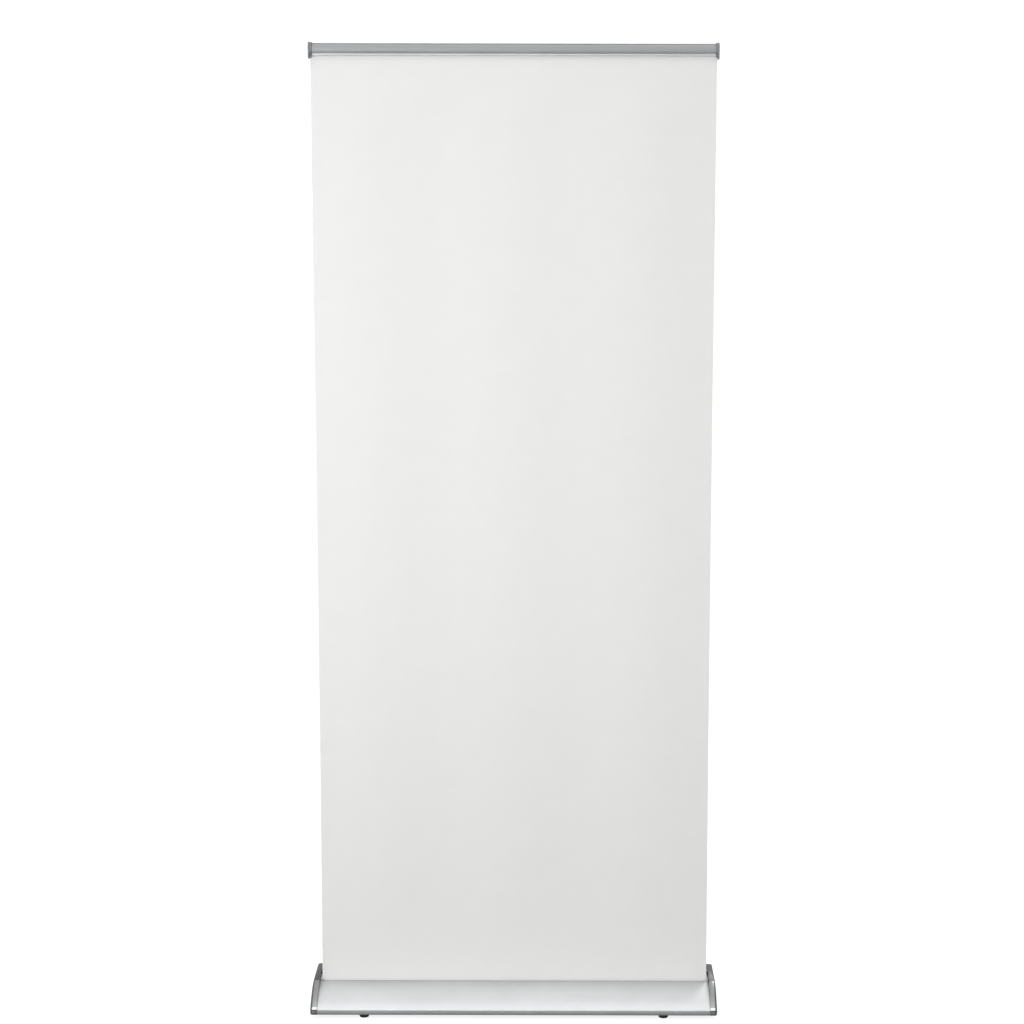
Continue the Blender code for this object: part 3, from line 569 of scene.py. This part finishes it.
def settle(item, sharp_deg=32):
    """Turn an object with its modifiers into a plain mesh."""
    graph = bpy.context.evaluated_depsgraph_get()
    mesh = bpy.data.meshes.new_from_object(item.evaluated_get(graph), depsgraph=graph)
    item.modifiers.clear()
    item.data = mesh
    mesh.name = item.name
    mesh.shade_smooth()
    mesh.set_sharp_from_angle(angle=math.radians(sharp_deg))
    return item


def cut(item, solid, operation="DIFFERENCE"):
    """Take one shape out of a piece, or join it on."""
    tool = to_object("tool", solid)
    modifier = item.modifiers.new("cut", "BOOLEAN")
    modifier.operation = operation
    modifier.solver = "EXACT"
    modifier.object = tool
    settle(item)
    bpy.data.objects.remove(tool)
    return item


def ease_edges(item, width_mm, segments=2, angle_deg=40):
    modifier = item.modifiers.new("eased", "BEVEL")
    modifier.width = width_mm * MM
    modifier.segments = segments
    modifier.limit_method = "ANGLE"
    modifier.angle_limit = math.radians(angle_deg)
    modifier.harden_normals = False
    return settle(item)


def fit(item, material, body, *nodes):
    """Give a finished piece its material, its body and the frame's nodes that it stands for."""
    item.data.materials.clear()
    item.data.materials.append(finishes[material])
    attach(item, body)
    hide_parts(*nodes)
    return item


# ---- node trees for what repeats ----------------------------------------------------------------
def start_tree(name, sizes):
    """An empty geometry tree with a number input for each named size, a material and one geometry."""
    tree = bpy.data.node_groups.new(name, "GeometryNodeTree")
    tree.interface.new_socket("Geometry", in_out="INPUT", socket_type="NodeSocketGeometry")
    for word, kind in sizes.items():
        tree.interface.new_socket(word, in_out="INPUT", socket_type=kind)
    tree.interface.new_socket("Finish", in_out="INPUT", socket_type="NodeSocketMaterial")
    tree.interface.new_socket("Geometry", in_out="OUTPUT", socket_type="NodeSocketGeometry")
    given = add_node(tree, "NodeGroupInput").outputs
    return tree, given


def end_tree(tree, given, shape):
    real = add_node(tree, "GeometryNodeRealizeInstances", {"Geometry": shape})
    painted = add_node(tree, "GeometryNodeSetMaterial", {"Geometry": real.outputs[0],
                                                         "Material": given["Finish"]})
    add_node(tree, "NodeGroupOutput", {"Geometry": painted.outputs[0]})
    return tree


def grow(item, tree, values):
    """Run a tree on an object with these input values, and keep the result as a plain mesh."""
    modifier = item.modifiers.new(tree.name, "NODES")
    modifier.node_group = tree
    for socket in tree.interface.items_tree:
        if socket.in_out == "INPUT" and socket.name in values:
            modifier[socket.identifier] = values[socket.name]
    return settle(item)


def knurl_tree():
    """Finger ridges round a thumb wheel: every point near the rim moves out and in as it goes round."""
    tree, given = start_tree("thumb_wheel_ridges", {"Ridges": "NodeSocketFloat",
                                                    "Depth": "NodeSocketFloat",
                                                    "Rim Radius": "NodeSocketFloat"})
    place = add_node(tree, "GeometryNodeInputPosition").outputs[0]
    part = add_node(tree, "ShaderNodeSeparateXYZ", {0: place}).outputs
    flat = add_node(tree, "ShaderNodeCombineXYZ", {"X": part["X"], "Y": part["Y"]}).outputs[0]
    radius = add_node(tree, "ShaderNodeVectorMath", {0: flat}, operation="LENGTH").outputs["Value"]
    turn = add_node(tree, "ShaderNodeMath", {0: part["Y"], 1: part["X"]}, operation="ARCTAN2").outputs[0]
    count = add_node(tree, "ShaderNodeMath", {0: turn, 1: given["Ridges"]}, operation="MULTIPLY").outputs[0]
    wave = add_node(tree, "ShaderNodeMath", {0: count}, operation="COSINE").outputs[0]
    share = add_node(tree, "ShaderNodeMath", {0: radius, 1: given["Rim Radius"]},
                     operation="DIVIDE").outputs[0]
    near = add_node(tree, "ShaderNodeMapRange", {"Value": share, "From Min": 0.80,
                                                 "From Max": 0.96}).outputs[0]
    deep = add_node(tree, "ShaderNodeMapRange", {"Value": wave, "From Min": -1.0, "From Max": 0.6,
                                                 "To Min": given["Depth"], "To Max": 0.0}).outputs[0]
    inward = add_node(tree, "ShaderNodeMath", {0: deep, 1: near}, operation="MULTIPLY").outputs[0]
    back = add_node(tree, "ShaderNodeMath", {0: inward, 1: -1.0}, operation="MULTIPLY").outputs[0]
    out = add_node(tree, "ShaderNodeVectorMath", {0: flat}, operation="NORMALIZE").outputs[0]
    shift = add_node(tree, "ShaderNodeVectorMath", {0: out, "Scale": back}, operation="SCALE").outputs[0]
    ridged = add_node(tree, "GeometryNodeSetPosition", {"Geometry": given["Geometry"], "Offset": shift})
    return end_tree(tree, given, ridged.outputs[0])


def coil_tree():
    """A close-wound spring: a wire drawn along a screw line."""
    tree, given = start_tree("coil", {"Turns": "NodeSocketFloat", "Mean Radius": "NodeSocketFloat",
                                      "Length": "NodeSocketFloat", "Wire Radius": "NodeSocketFloat"})
    line = add_node(tree, "GeometryNodeCurveSpiral", {"Resolution": 28, "Rotations": given["Turns"],
                                                      "Start Radius": given["Mean Radius"],
                                                      "End Radius": given["Mean Radius"],
                                                      "Height": given["Length"]})
    wire = add_node(tree, "GeometryNodeCurvePrimitiveCircle", {"Resolution": 10,
                                                               "Radius": given["Wire Radius"]})
    swept = add_node(tree, "GeometryNodeCurveToMesh", {"Curve": line.outputs[0],
                                                       "Profile Curve": wire.outputs[0],
                                                       "Fill Caps": True})
    return end_tree(tree, given, swept.outputs[0])


def row_tree():
    """Copies of one small shape on every corner of a mesh, each turned as the corner's normal looks."""
    tree, given = start_tree("repeated", {"Shape": "NodeSocketObject"})
    shape = add_node(tree, "GeometryNodeObjectInfo", {"Object": given["Shape"]})
    normal = add_node(tree, "GeometryNodeInputNamedAttribute", {"Name": "facing"}, data_type="FLOAT_VECTOR")
    turn = add_node(tree, "FunctionNodeAlignRotationToVector", {"Vector": normal.outputs[0]}, axis="Z")
    copies = add_node(tree, "GeometryNodeInstanceOnPoints", {"Points": given["Geometry"],
                                                             "Instance": shape.outputs["Geometry"],
                                                             "Rotation": turn.outputs[0]})
    return end_tree(tree, given, copies.outputs[0])


def repeat(name, shape, places, material):
    """One object with a copy of a shape at each (place, facing)."""
    mesh = bpy.data.meshes.new(name)
    mesh.from_pydata([p for p, _ in places], [], [])
    facing = mesh.attributes.new("facing", "FLOAT_VECTOR", "POINT")
    for i, (_, way) in enumerate(places):
        facing.data[i].vector = way
    item = bpy.data.objects.new(name, mesh)
    bpy.context.scene.collection.objects.link(item)
    sample = to_object(name + "_sample", shape)
    grow(item, trees["row"], {"Shape": sample, "Finish": finishes[material]})
    bpy.data.objects.remove(sample)
    return item


# ---- base ---------------------------------------------------------------------------------------
def make_case():
    """The two long extrusions, with dense outlines so that their highlights run clean."""
    half = COVER_HIGH.x
    cover = to_object("case_cover", drawn(cover_outline(), -half, half, ease=0.25 * MM))
    fit(cover, "satin_aluminium", "base", "front_cover")
    cover.data.materials[0] = cover_finish_with_painted_shade()    # the same slot, a paler copy with painted shade beside the sheet and on the lip
    shell = to_object("case_shell", drawn(shell_outline(), -half, half, ease=0.25 * MM))
    socket_hole = [(0, 0.02), (13.5 * MM, 0.02), (13.5 * MM, 0.09), (0, 0.09)]
    cut(shell, moved(turned(socket_hole, 64), (0, POLE_Y, 0)))
    # a tab at each end closes the slot beside the sheet
    tab = [(-13.7 * MM, 50.0 * MM), (-7.0 * MM, 50.0 * MM), (-7.0 * MM, 58.8 * MM), (-13.7 * MM, 57.2 * MM)]
    for side in (-1, 1):
        cut(shell, mirrored(drawn(tab, SHEET_HIGH.x + 1.0 * MM, half - 0.02 * MM), side), "UNION")
    fit(shell, "satin_aluminium", "base", "rear_shell")


def cap_body(side):
    """Moulded hump with a rounded outer face, whose crest leans in and drops towards its outer side."""
    inner_x = COVER_HIGH.x + GAP
    outer_x = CAP_HIGH.x
    round_off, steps = 3.6 * MM, 8
    lean_from, lean, drop = 52.0 * MM, 3.0 * MM, 2.6 * MM
    outline = cap_outline()
    solid = bmesh.new()
    rings = [ring_of(solid, outline, inner_x, "X")]
    for i in range(steps + 1):
        angle = math.pi / 2 * i / steps
        inset = offset(outline, -round_off * (1 - math.cos(angle)), closed=True)
        rings.append(ring_of(solid, inset, outer_x - round_off * (1 - math.sin(angle)), "X"))
    skin(solid, rings)
    for vert in solid.verts:
        rise = max(0.0, (vert.co.z - lean_from) / (CAP_HIGH.z - lean_from))
        outward = (vert.co.x - inner_x) / (outer_x - inner_x)
        vert.co.x -= lean * rise ** 2 * outward
        vert.co.z -= drop * rise ** 2 * outward ** 2
    mirrored(solid, side)
    return solid


def trim_line(inset, above=0.0):
    """Line of the bright strip: up the cap's nose and along its front slope, nearly to the slot."""
    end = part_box("trim_strip_right")[1].y
    points = [p for p in cap_outline()[1:] if p[0] < end and p[1] > above]
    return offset(points, -inset)


def trim_section(side, proud, play=0.0):
    """The strip's flange along the slope and its leg, which lines the cap's inner side."""
    inner_x = COVER_HIGH.x + GAP
    start = inner_x - play * 10
    thick, width = 1.6 * MM + play, 10.6 * MM
    leg_depth, leg_foot, leg_thick = 7.0 * MM + play, 23.0 * MM, 1.2 * MM
    flange = drawn(trim_line(-proud) + trim_line(thick)[::-1], start, inner_x + width + play)
    line = trim_line(0.6 * MM, leg_foot) + trim_line(leg_depth, leg_foot)[::-1]
    leg = drawn(line, start + 0.05 * MM, inner_x + leg_thick + play)
    return mirrored(flange, side), mirrored(leg, side)


def make_cap(side, word):
    """An end cap, hollow behind, with a shroud over the shell's end and its bright strip let in."""
    inner_x = COVER_HIGH.x + GAP
    cap = to_object("cap_" + word, cap_body(side))
    pocket = offset(cap_outline(), -3.0 * MM)[1:-1]
    cut(cap, mirrored(drawn(pocket, inner_x - 5 * MM, inner_x + 9.2 * MM), side))
    over = offset(cap_outline(), -0.4 * MM)
    under = offset(crest_line(24, 16), GAP)
    section = [p for line in (over, under[::-1]) for p in line if p[0] > 8 * MM and p[1] > 35 * MM]
    shroud = drawn(section, COVER_HIGH.x - 4.0 * MM, inner_x + 1.0 * MM, ease=0.2 * MM)
    cut(cap, mirrored(shroud, side), "UNION")
    for groove in trim_section(side, 4.0 * MM, GAP):
        cut(cap, groove)
    for y, z in SCREW_PLACES:
        seat = [(0, -0.012), (1.7 * MM, -0.012), (1.7 * MM, -2.4 * MM), (3.6 * MM, -2.4 * MM),
                (3.6 * MM, 0.01), (0, 0.01)]
        cut(cap, mirrored(moved(turned(seat, 32, "X"), (CAP_HIGH.x, y, z)), side))
    fit(cap, "charcoal_plastic", "base", "end_cap_" + word)

    flange, leg = trim_section(side, 0.2 * MM)
    strip = cut(to_object("cap_trim_" + word, flange), leg, "UNION")
    notch = [(-0.110, 20.0 * MM), (-0.110, 21.2 * MM), (-0.1010, 21.2 * MM), (-0.1010, 20.0 * MM)]
    cut(strip, mirrored(drawn(notch, inner_x - 1 * MM, inner_x + 12 * MM), side))
    ease_edges(strip, 0.25)
    fit(strip, "bright_trim", "base", "trim_strip_" + word)


def screw_shape(reach):
    """Pan-head screw that looks along +Z, with a cross recess in its head."""
    outline = [(0, -reach), (1.2 * MM, -reach), (1.4 * MM, -reach + 0.4 * MM), (1.4 * MM, -2.1 * MM),
               (3.2 * MM, -2.1 * MM), (3.2 * MM, -1.5 * MM), (2.9 * MM, -0.9 * MM), (2.1 * MM, -0.45 * MM),
               (1.0 * MM, -0.3 * MM), (0, -0.28 * MM)]
    head = to_object("screw_head", turned(outline, 24))
    for turn in (0, math.pi / 2):
        slot = bmesh.new()
        bmesh.ops.create_cube(slot, size=1.0)
        bmesh.ops.scale(slot, vec=(3.6 * MM, 0.7 * MM, 2.2 * MM), verts=slot.verts)
        bmesh.ops.rotate(slot, verts=slot.verts, matrix=Matrix.Rotation(turn, 3, "Z"))
        cut(head, slot)
    solid = bmesh.new()
    solid.from_mesh(head.data)
    bpy.data.objects.remove(head)
    return solid


def make_cap_screws():
    """Two screws through each end cap, all alike."""
    low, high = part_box("cap_screw_right_1")
    places = [((side * CAP_HIGH.x, y, z), (side, 0, 0)) for side in (-1, 1) for y, z in SCREW_PLACES]
    screws = repeat("cap_screws", screw_shape(high.x - low.x), places, "screw_steel")
    nodes = [f"cap_screw_{word}_{number}" for word in ("left", "right") for number in (1, 2)]
    fit(screws, "screw_steel", "base", *nodes)


# ---- roller -------------------------------------------------------------------------------------
def make_roller():
    half = ROLL_HIGH.x
    outer, bore = 14.0 * MM, 12.8 * MM
    outline = [(outer, -half + 0.3 * MM), (outer, half - 0.3 * MM), (outer - 0.3 * MM, half),
               (bore + 0.2 * MM, half), (bore, half - 0.2 * MM), (bore, -half + 0.2 * MM),
               (bore + 0.2 * MM, -half), (outer - 0.3 * MM, -half)]
    tube = to_object("winding_tube", moved(turned(outline, 56, "X"), (0, ROLL_CENTRE.y, ROLL_CENTRE.z)))
    fit(tube, "satin_aluminium", "roller", "roller_tube")


def make_spring():
    """Torsion spring round its fixed shaft."""
    low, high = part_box("torsion_spring")
    wire = 1.1 * MM
    item = to_object("return_spring", bmesh.new())
    grow(item, trees["coil"], {"Turns": 38.0, "Mean Radius": (high.z - low.z) / 2 - wire,
                               "Length": high.x - low.x - 2 * wire, "Wire Radius": wire,
                               "Finish": finishes["spring_steel"]})
    centre = (low + high) / 2
    turn = Matrix.Rotation(math.pi / 2, 4, "Y")
    item.data.transform(Matrix.Translation((low.x + wire, centre.y, centre.z)) @ turn)
    fit(item, "spring_steel", "base", "torsion_spring")


# ---- sheet --------------------------------------------------------------------------------------
def hold(z):
    """How free the film is at a height: 0 where the slot and the rail hold it flat, 1 between."""
    over_slot, under_rail = 0.20, 0.10      # lengths over which it comes free
    low = min(max((z - SLOT_Z - HELD) / over_slot, 0), 1)
    high = min(max((RAIL_BOTTOM - HELD - z) / under_rail, 0), 1)
    share = low * high
    return share * share * (3 - 2 * share)


def stand_off(x, z):
    """How far the film stands off its flat plane: two long waves, and a fan of creases under the rail."""
    height = z / SHEET_HIGH.z
    long_wave = math.cos(2 * math.pi * (x + 0.1425 + 0.03 * height) / RIPPLE_LENGTH)
    drift = 0.45 * math.cos(2 * math.pi * (x - 0.06) / 0.61 + 1.9 * height)
    fan = math.cos(2 * math.pi * x / CREASE_LENGTH + 0.8) * height ** 6
    return hold(z) * (RIPPLE * (long_wave + drift) + CREASE * fan)


def make_sheet():
    """The film from the roll to the rail: pulled straight, with soft ripples and slightly hollow sides."""
    columns, rows = 100, 190
    solid = bmesh.new()
    faces = {-1: [], 1: []}
    for side in (-1, 1):
        for j in range(rows + 1):
            z = SHEET_LOW.z + (SHEET_HIGH.z - SHEET_LOW.z) * j / rows
            middle = (z - SLOT_Z) / (RAIL_BOTTOM - SLOT_Z)
            half = SHEET_HIGH.x - SIDE_HOLLOW * math.sin(math.pi * min(max(middle, 0), 1))
            line = []
            for i in range(columns + 1):
                x = half * (2 * i / columns - 1)
                line.append(solid.verts.new((x, SHEET_Y + stand_off(x, z) + side * SHEET_THICK / 2, z)))
            faces[side].append(line)
    for side in (-1, 1):
        for low, high in zip(faces[side], faces[side][1:]):
            for i in range(columns):
                solid.faces.new((low[i], low[i + 1], high[i + 1], high[i]))
    edge = {side: faces[side][0] + [line[-1] for line in faces[side][1:-1]] + faces[side][-1][::-1]
            + [line[0] for line in faces[side][-2:0:-1]] for side in (-1, 1)}
    count = len(edge[1])
    for i in range(count):
        solid.faces.new((edge[-1][i], edge[-1][(i + 1) % count], edge[1][(i + 1) % count], edge[1][i]))
    sheet = to_object("banner_film", solid, 50)
    fit(sheet, "printed_sheet", "base", "banner_panel")
    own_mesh(sheet)


# ---- rail, as (distance behind the sheet, height over the lower edge) ---------------------------
def on_rail(points):
    return [(SHEET_Y + u * MM, RAIL_BOTTOM + v * MM) for u, v in points]


def bead(radius, start_deg, end_deg, steps):
    """An arc round the axis that the front half turns on, in millimetres."""
    return arc((BEAD_CENTRE[0] / MM, BEAD_CENTRE[1] / MM), radius / MM, start_deg, end_deg, steps)


def grip_front():
    """Front half: a bead that turns in the knuckle, a curved wall and a lip that grips the sheet."""
    face = bezier((-3.6, 24.5), (-7.5, 24.2), (-9.8, 19.0), (-9.8, 13.5), 14)
    face += bezier((-9.8, 13.5), (-9.8, 10.0), (-8.4, 6.8), (-6.2, 5.8), 12)
    face += bezier((-6.2, 5.8), (-6.9, 5.4), (-7.0, 4.0), (-6.8, 3.2), 4)
    face += bezier((-6.8, 3.2), (-6.6, 2.0), (-5.6, 1.3), (-4.4, 1.3), 5) + [(-4.4, 1.3)]
    inside = [(-0.9, 1.3), (-0.6, 1.6), (-0.6, 4.4), (-4.6, 5.6)]
    inside += bezier((-5.0, 7.0), (-7.4, 8.0), (-8.4, 10.5), (-8.4, 13.5), 8)
    inside += bezier((-8.4, 13.5), (-8.4, 18.0), (-7.0, 22.2), (-4.0, 23.0), 10)
    return face + inside + bead(BEAD_RADIUS, 235, 515, 22)


def grip_back():
    """Back half: a web behind the sheet, a hooked knuckle on top and a channel for the pole head."""
    outline = [(0.6, 0.0), (0.6, 22.6)]
    outline += bead(BEAD_RADIUS + 0.4 * MM, -15, 125, 12)
    outline += bead(3.0 * MM, 125, 60, 7)
    outline += [(2.2, 26.6), (2.2, 23.0), (8.7, 23.0), (9.0, 22.7), (9.0, 18.3), (8.7, 18.0), (7.8, 18.0),
                (7.5, 18.3), (7.5, 21.5), (2.2, 21.5), (2.2, 5.0), (7.5, 5.0), (7.5, 8.2), (7.8, 8.5),
                (8.7, 8.5), (9.0, 8.2), (9.0, 3.8), (8.7, 3.5), (2.2, 3.5), (2.2, 0.0)]
    return outline


def cap_block():
    """Inner block of a rail cap: the rail's section standing proud, slotted for the sheet."""
    slot_top = (SHEET_HIGH.z - RAIL_BOTTOM) / MM + 1.2
    outline = [(-0.6, -0.5), (-0.6, slot_top), (0.6, slot_top), (0.6, -0.5), (10.4, -0.5), (10.4, 27.0),
               (9.0, 28.8), (-4.0, 28.8)]
    outline += bezier((-7.5, 27.5), (-11.0, 23.5), (-11.4, 18.5), (-11.4, 13.5), 12)
    outline += bezier((-11.4, 13.5), (-11.4, 9.0), (-9.0, 5.0), (-8.0, 3.0), 8)
    return outline + [(-7.6, -0.5)]


def cap_plate():
    """Outer plate of a rail cap, which hangs below the rail with its corners cut off."""
    outline = [(-5.0, -5.0), (5.0, -5.0), (11.0, -2.0), (11.0, 27.5), (9.4, 29.2), (-4.6, 29.2)]
    outline += bezier((-8.0, 28.0), (-11.6, 24.0), (-12.0, 18.5), (-12.0, 13.5), 12)
    return outline + [(-12.0, 13.5), (-11.2, 0.0)]


def make_rail():
    half = BACK_HIGH.x
    front = to_object("rail_grip_front", drawn(on_rail(grip_front()), -half, half, ease=0.2 * MM))
    fit(front, "rail_aluminium", "rail_jaw", "rail_jaw")
    back = to_object("rail_grip_back", drawn(on_rail(grip_back()), -half, half, ease=0.2 * MM))
    fit(back, "rail_aluminium", "top_section", "rail_back")
    plate_x = PLATE_HIGH.x - 3.5 * MM
    for side, word in ((-1, "left"), (1, "right")):
        plate = drawn(on_rail(cap_plate()), plate_x, PLATE_HIGH.x, ease=0.7 * MM)
        cap = to_object("rail_end_" + word, mirrored(plate, side))
        block = drawn(on_rail(cap_block()), half + GAP, plate_x + 0.9 * MM, ease=0.25 * MM)
        cut(cap, mirrored(block, side), "UNION")
        fit(cap, "grey_plastic", "top_section", "rail_cap_" + word)


# ---- pole ---------------------------------------------------------------------------------------
def make_pole_tubes():
    """Three drawn tubes, each with an eased rim and a true bore."""
    wall = 1.1 * MM
    ease = 0.25 * MM
    for word, body in (("lower", "base"), ("middle", "middle_section"), ("upper", "top_section")):
        low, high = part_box("pole_" + word)
        outer = (high.y - low.y) / 2
        inner = outer - wall
        outline = [(outer, low.z + ease), (outer, high.z - ease), (outer - ease, high.z),
                   (inner + ease, high.z), (inner, high.z - ease), (inner, low.z + ease),
                   (inner + ease, low.z), (outer - ease, low.z)]
        tube = to_object("pole_tube_" + word, moved(turned(outline, 48), (0, POLE_Y, 0)))
        fit(tube, "pole_aluminium", body, "pole_" + word)


def make_socket():
    """Flanged cup in the crest of the base that the pole stands in."""
    low, top = SOCKET_LOW.z, SOCKET_HIGH.z
    bore = 11.3 * MM
    flange = top - 2.0 * MM
    rim = 16.5 * MM
    outline = [(0, low), (12.8 * MM, low), (13.1 * MM, low + 0.3 * MM), (13.1 * MM, flange),
               (rim, flange), (rim, flange + 0.6 * MM)]
    outline += arc((rim - 1.2 * MM, flange + 0.8 * MM), 1.2 * MM, 0, 90, 5)
    outline += [(bore + 0.6 * MM, top), (bore + 0.15 * MM, top - 0.2 * MM), (bore, top - 0.7 * MM),
                (bore, 15.2 * MM), (0, 15.2 * MM)]
    cup = to_object("pole_cup", moved(turned(outline, 56), (0, POLE_Y, 0)))
    fit(cup, "black_plastic", "base", "pole_socket")


def block(size, centre):
    solid = bmesh.new()
    bmesh.ops.create_cube(solid, size=1.0)
    bmesh.ops.scale(solid, vec=size, verts=solid.verts)
    return moved(solid, centre)


def make_collar(word, body, outer, inner, low, high):
    """Clamp collar at the top of a tube, with a step inside and two ears for the lever's pin."""
    ring_outer = outer + 3.5 * MM
    step = high - 4.0 * MM + GAP
    ease = 0.5 * MM
    outline = [(ring_outer - ease, low), (ring_outer, low + ease), (ring_outer, high - 2 * ease),
               (ring_outer - 1.5 * ease, high), (inner + 0.8 * MM, high),
               (inner + 0.4 * MM, high - 0.4 * MM), (inner + 0.4 * MM, step),
               (outer + GAP, step), (outer + GAP, low)]
    collar = to_object("pole_collar_" + word, moved(turned(outline, 48), (0, POLE_Y, 0)))
    pin_y = POLE_Y + ring_outer + 4.5 * MM
    ear_y = POLE_Y + ring_outer + 3.7 * MM
    for start in (low, high - EAR_HEIGHT):
        ear = block((7.6 * MM, 8.5 * MM, EAR_HEIGHT), (0, ear_y, start + EAR_HEIGHT / 2))
        cut(collar, ear, "UNION")
    bore = [(0, low - 0.01), (PIN_HOLE, low - 0.01), (PIN_HOLE, high + 0.01), (0, high + 0.01)]
    cut(collar, moved(turned(bore, 24), (0, pin_y, 0)))
    ease_edges(collar, 0.5, 2, 60)
    fit(collar, "black_plastic", body, "clamp_collar_" + word)


def make_lever(word, body, outer, low, high):
    """Cam lever wrapped round its collar, with grip ribs on the thumb end."""
    near = outer + 4.0 * MM
    far = near + 2.6 * MM
    pin = outer + 8.0 * MM
    bottom, top = low + EAR_HEIGHT + GAP, high - EAR_HEIGHT - GAP
    outline = arc((0, 0), near, -30, 84, 24)
    outline += arc((0, pin), 3.4 * MM, 250, -15, 16)
    outline += arc((0, 0), far, 74, -24, 24)
    tip = math.radians(-34)
    outline += [(far * 1.12 * math.cos(tip), far * 1.12 * math.sin(tip))]
    lever = to_object("pole_lever_" + word, moved(drawn(outline, bottom, top, "Z"), (0, POLE_Y, 0)))
    hole = [(0, low), (PIN_HOLE, low), (PIN_HOLE, high), (0, high)]
    cut(lever, moved(turned(hole, 24), (0, POLE_Y + pin, 0)))
    ease_edges(lever, 0.6, 2, 50)
    rib = block((top - bottom - 3 * MM, 0.9 * MM, 1.0 * MM), (0, 0, 0))
    places = []
    for i in range(7):
        angle = math.radians(-18 + 6 * i)
        way = (math.cos(angle), math.sin(angle), 0)
        places.append(((far * way[0], POLE_Y + far * way[1], (bottom + top) / 2), way))
    ribs = repeat("lever_ribs", rib, places, "black_plastic")
    merged = bmesh.new()
    merged.from_mesh(lever.data)
    merged.from_mesh(ribs.data)
    merged.to_mesh(lever.data)
    merged.free()
    bpy.data.objects.remove(ribs)
    fit(lever, "black_plastic", body, "clamp_lever_" + word)


def make_clamps():
    clamps = (("lower", "lower", "middle", "base", "lower_lever"),
              ("upper", "middle", "upper", "middle_section", "upper_lever"))
    for word, tube, slider, body, lever_body in clamps:
        low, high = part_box("clamp_collar_" + word)
        tube_low, tube_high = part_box("pole_" + tube)
        slide_low, slide_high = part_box("pole_" + slider)
        outer = (tube_high.x - tube_low.x) / 2
        make_collar(word, body, outer, (slide_high.x - slide_low.x) / 2, low.z, high.z)
        make_lever(word, lever_body, outer, low.z, high.z)


def make_pole_hook():
    """Moulded head on the pole: a plug in the top tube and an arm that hooks into the rail's channel."""
    low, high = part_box("pole_head")
    tube_low, tube_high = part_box("pole_upper")
    plug = (tube_high.y - tube_low.y) / 2 - 1.4 * MM
    step = tube_high.z + GAP
    top = high.z
    outline = [(0, low.z), (plug - 0.4 * MM, low.z), (plug, low.z + 0.4 * MM), (plug, step),
               (10.5 * MM, step), (10.5 * MM, top - 2.0 * MM)]
    outline += arc((8.9 * MM, top - 1.6 * MM), 1.6 * MM, 0, 90, 5) + [(0, top)]
    head = to_object("pole_hook", moved(turned(outline, 48), (0, POLE_Y, 0)))
    mid = RAIL_BOTTOM + 13.25 * MM
    reach = POLE_Y - 5 * MM
    cut(head, block((16 * MM, reach - low.y, 7.5 * MM), (0, (reach + low.y) / 2, mid)), "UNION")
    cut(head, block((30 * MM, 4.4 * MM, 15 * MM), (0, low.y + 2.2 * MM, mid)), "UNION")
    ease_edges(head, 0.4, 2, 60)
    fit(head, "black_plastic", "top_section", "pole_head")


# ---- feet ---------------------------------------------------------------------------------------
def make_feet():
    """Thumb wheels with finger ridges, and the rubber pads they turn on."""
    for corner in CORNERS:
        low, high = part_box("foot_screw_" + corner)
        x, y = (low.x + high.x) / 2, (low.y + high.y) / 2
        rim = (high.x - low.x) / 2
        stud = 3.6 * MM
        base = low.z
        outline = [(0, base), (rim - 1.2 * MM, base), (rim - 0.4 * MM, base + 0.4 * MM),
                   (rim, base + 1.2 * MM), (rim, 7.4 * MM), (rim - 0.4 * MM, 8.2 * MM),
                   (rim - 1.2 * MM, 8.6 * MM),
                   (stud + 0.5 * MM, 8.6 * MM), (stud, 9.1 * MM), (stud, high.z - 0.5 * MM),
                   (stud - 0.5 * MM, high.z), (0, high.z)]
        wheel = to_object("foot_wheel_" + corner, turned(outline, 144))
        grow(wheel, trees["knurl"], {"Ridges": 18.0, "Depth": 0.9 * MM, "Rim Radius": rim,
                                     "Finish": finishes["black_plastic"]})
        wheel.data.transform(Matrix.Translation((x, y, 0)))
        fit(wheel, "black_plastic", "wheel_" + corner, "foot_screw_" + corner)
        low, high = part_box("foot_pad_" + corner)
        rim = (high.x - low.x) / 2
        outline = [(0, 0.5 * MM), (4.0 * MM, 0.5 * MM), (4.4 * MM, 0), (rim - 1.2 * MM, 0),
                   (rim - 0.5 * MM, 0.3 * MM), (rim, 1.0 * MM), (rim, 2.2 * MM), (rim - 0.4 * MM, high.z),
                   (0, high.z)]
        pad = to_object("foot_sole_" + corner, moved(turned(outline, 48), (x, y, 0)))
        fit(pad, "foot_rubber", "foot_" + corner, "foot_pad_" + corner)


# ---- the frame's own nodes that stay ------------------------------------------------------------
def paint_frame():
    """Give each node that still shows the finish of its slot."""
    for row in frame["record"]["subparts"]:
        item = frame["nodes"][row["node"]]
        item.data.materials.clear()
        item.data.materials.append(finishes[row["material_slot"]])


place_camera()
light_room()
lay_floor()
finishes = make_materials()
trees = {"knurl": knurl_tree(), "coil": coil_tree(), "row": row_tree()}
paint_frame()
make_case()
make_cap(-1, "left")
make_cap(1, "right")
make_cap_screws()
make_roller()
make_spring()
make_sheet()
make_rail()
make_pole_tubes()
make_socket()
make_clamps()
make_pole_hook()
make_feet()
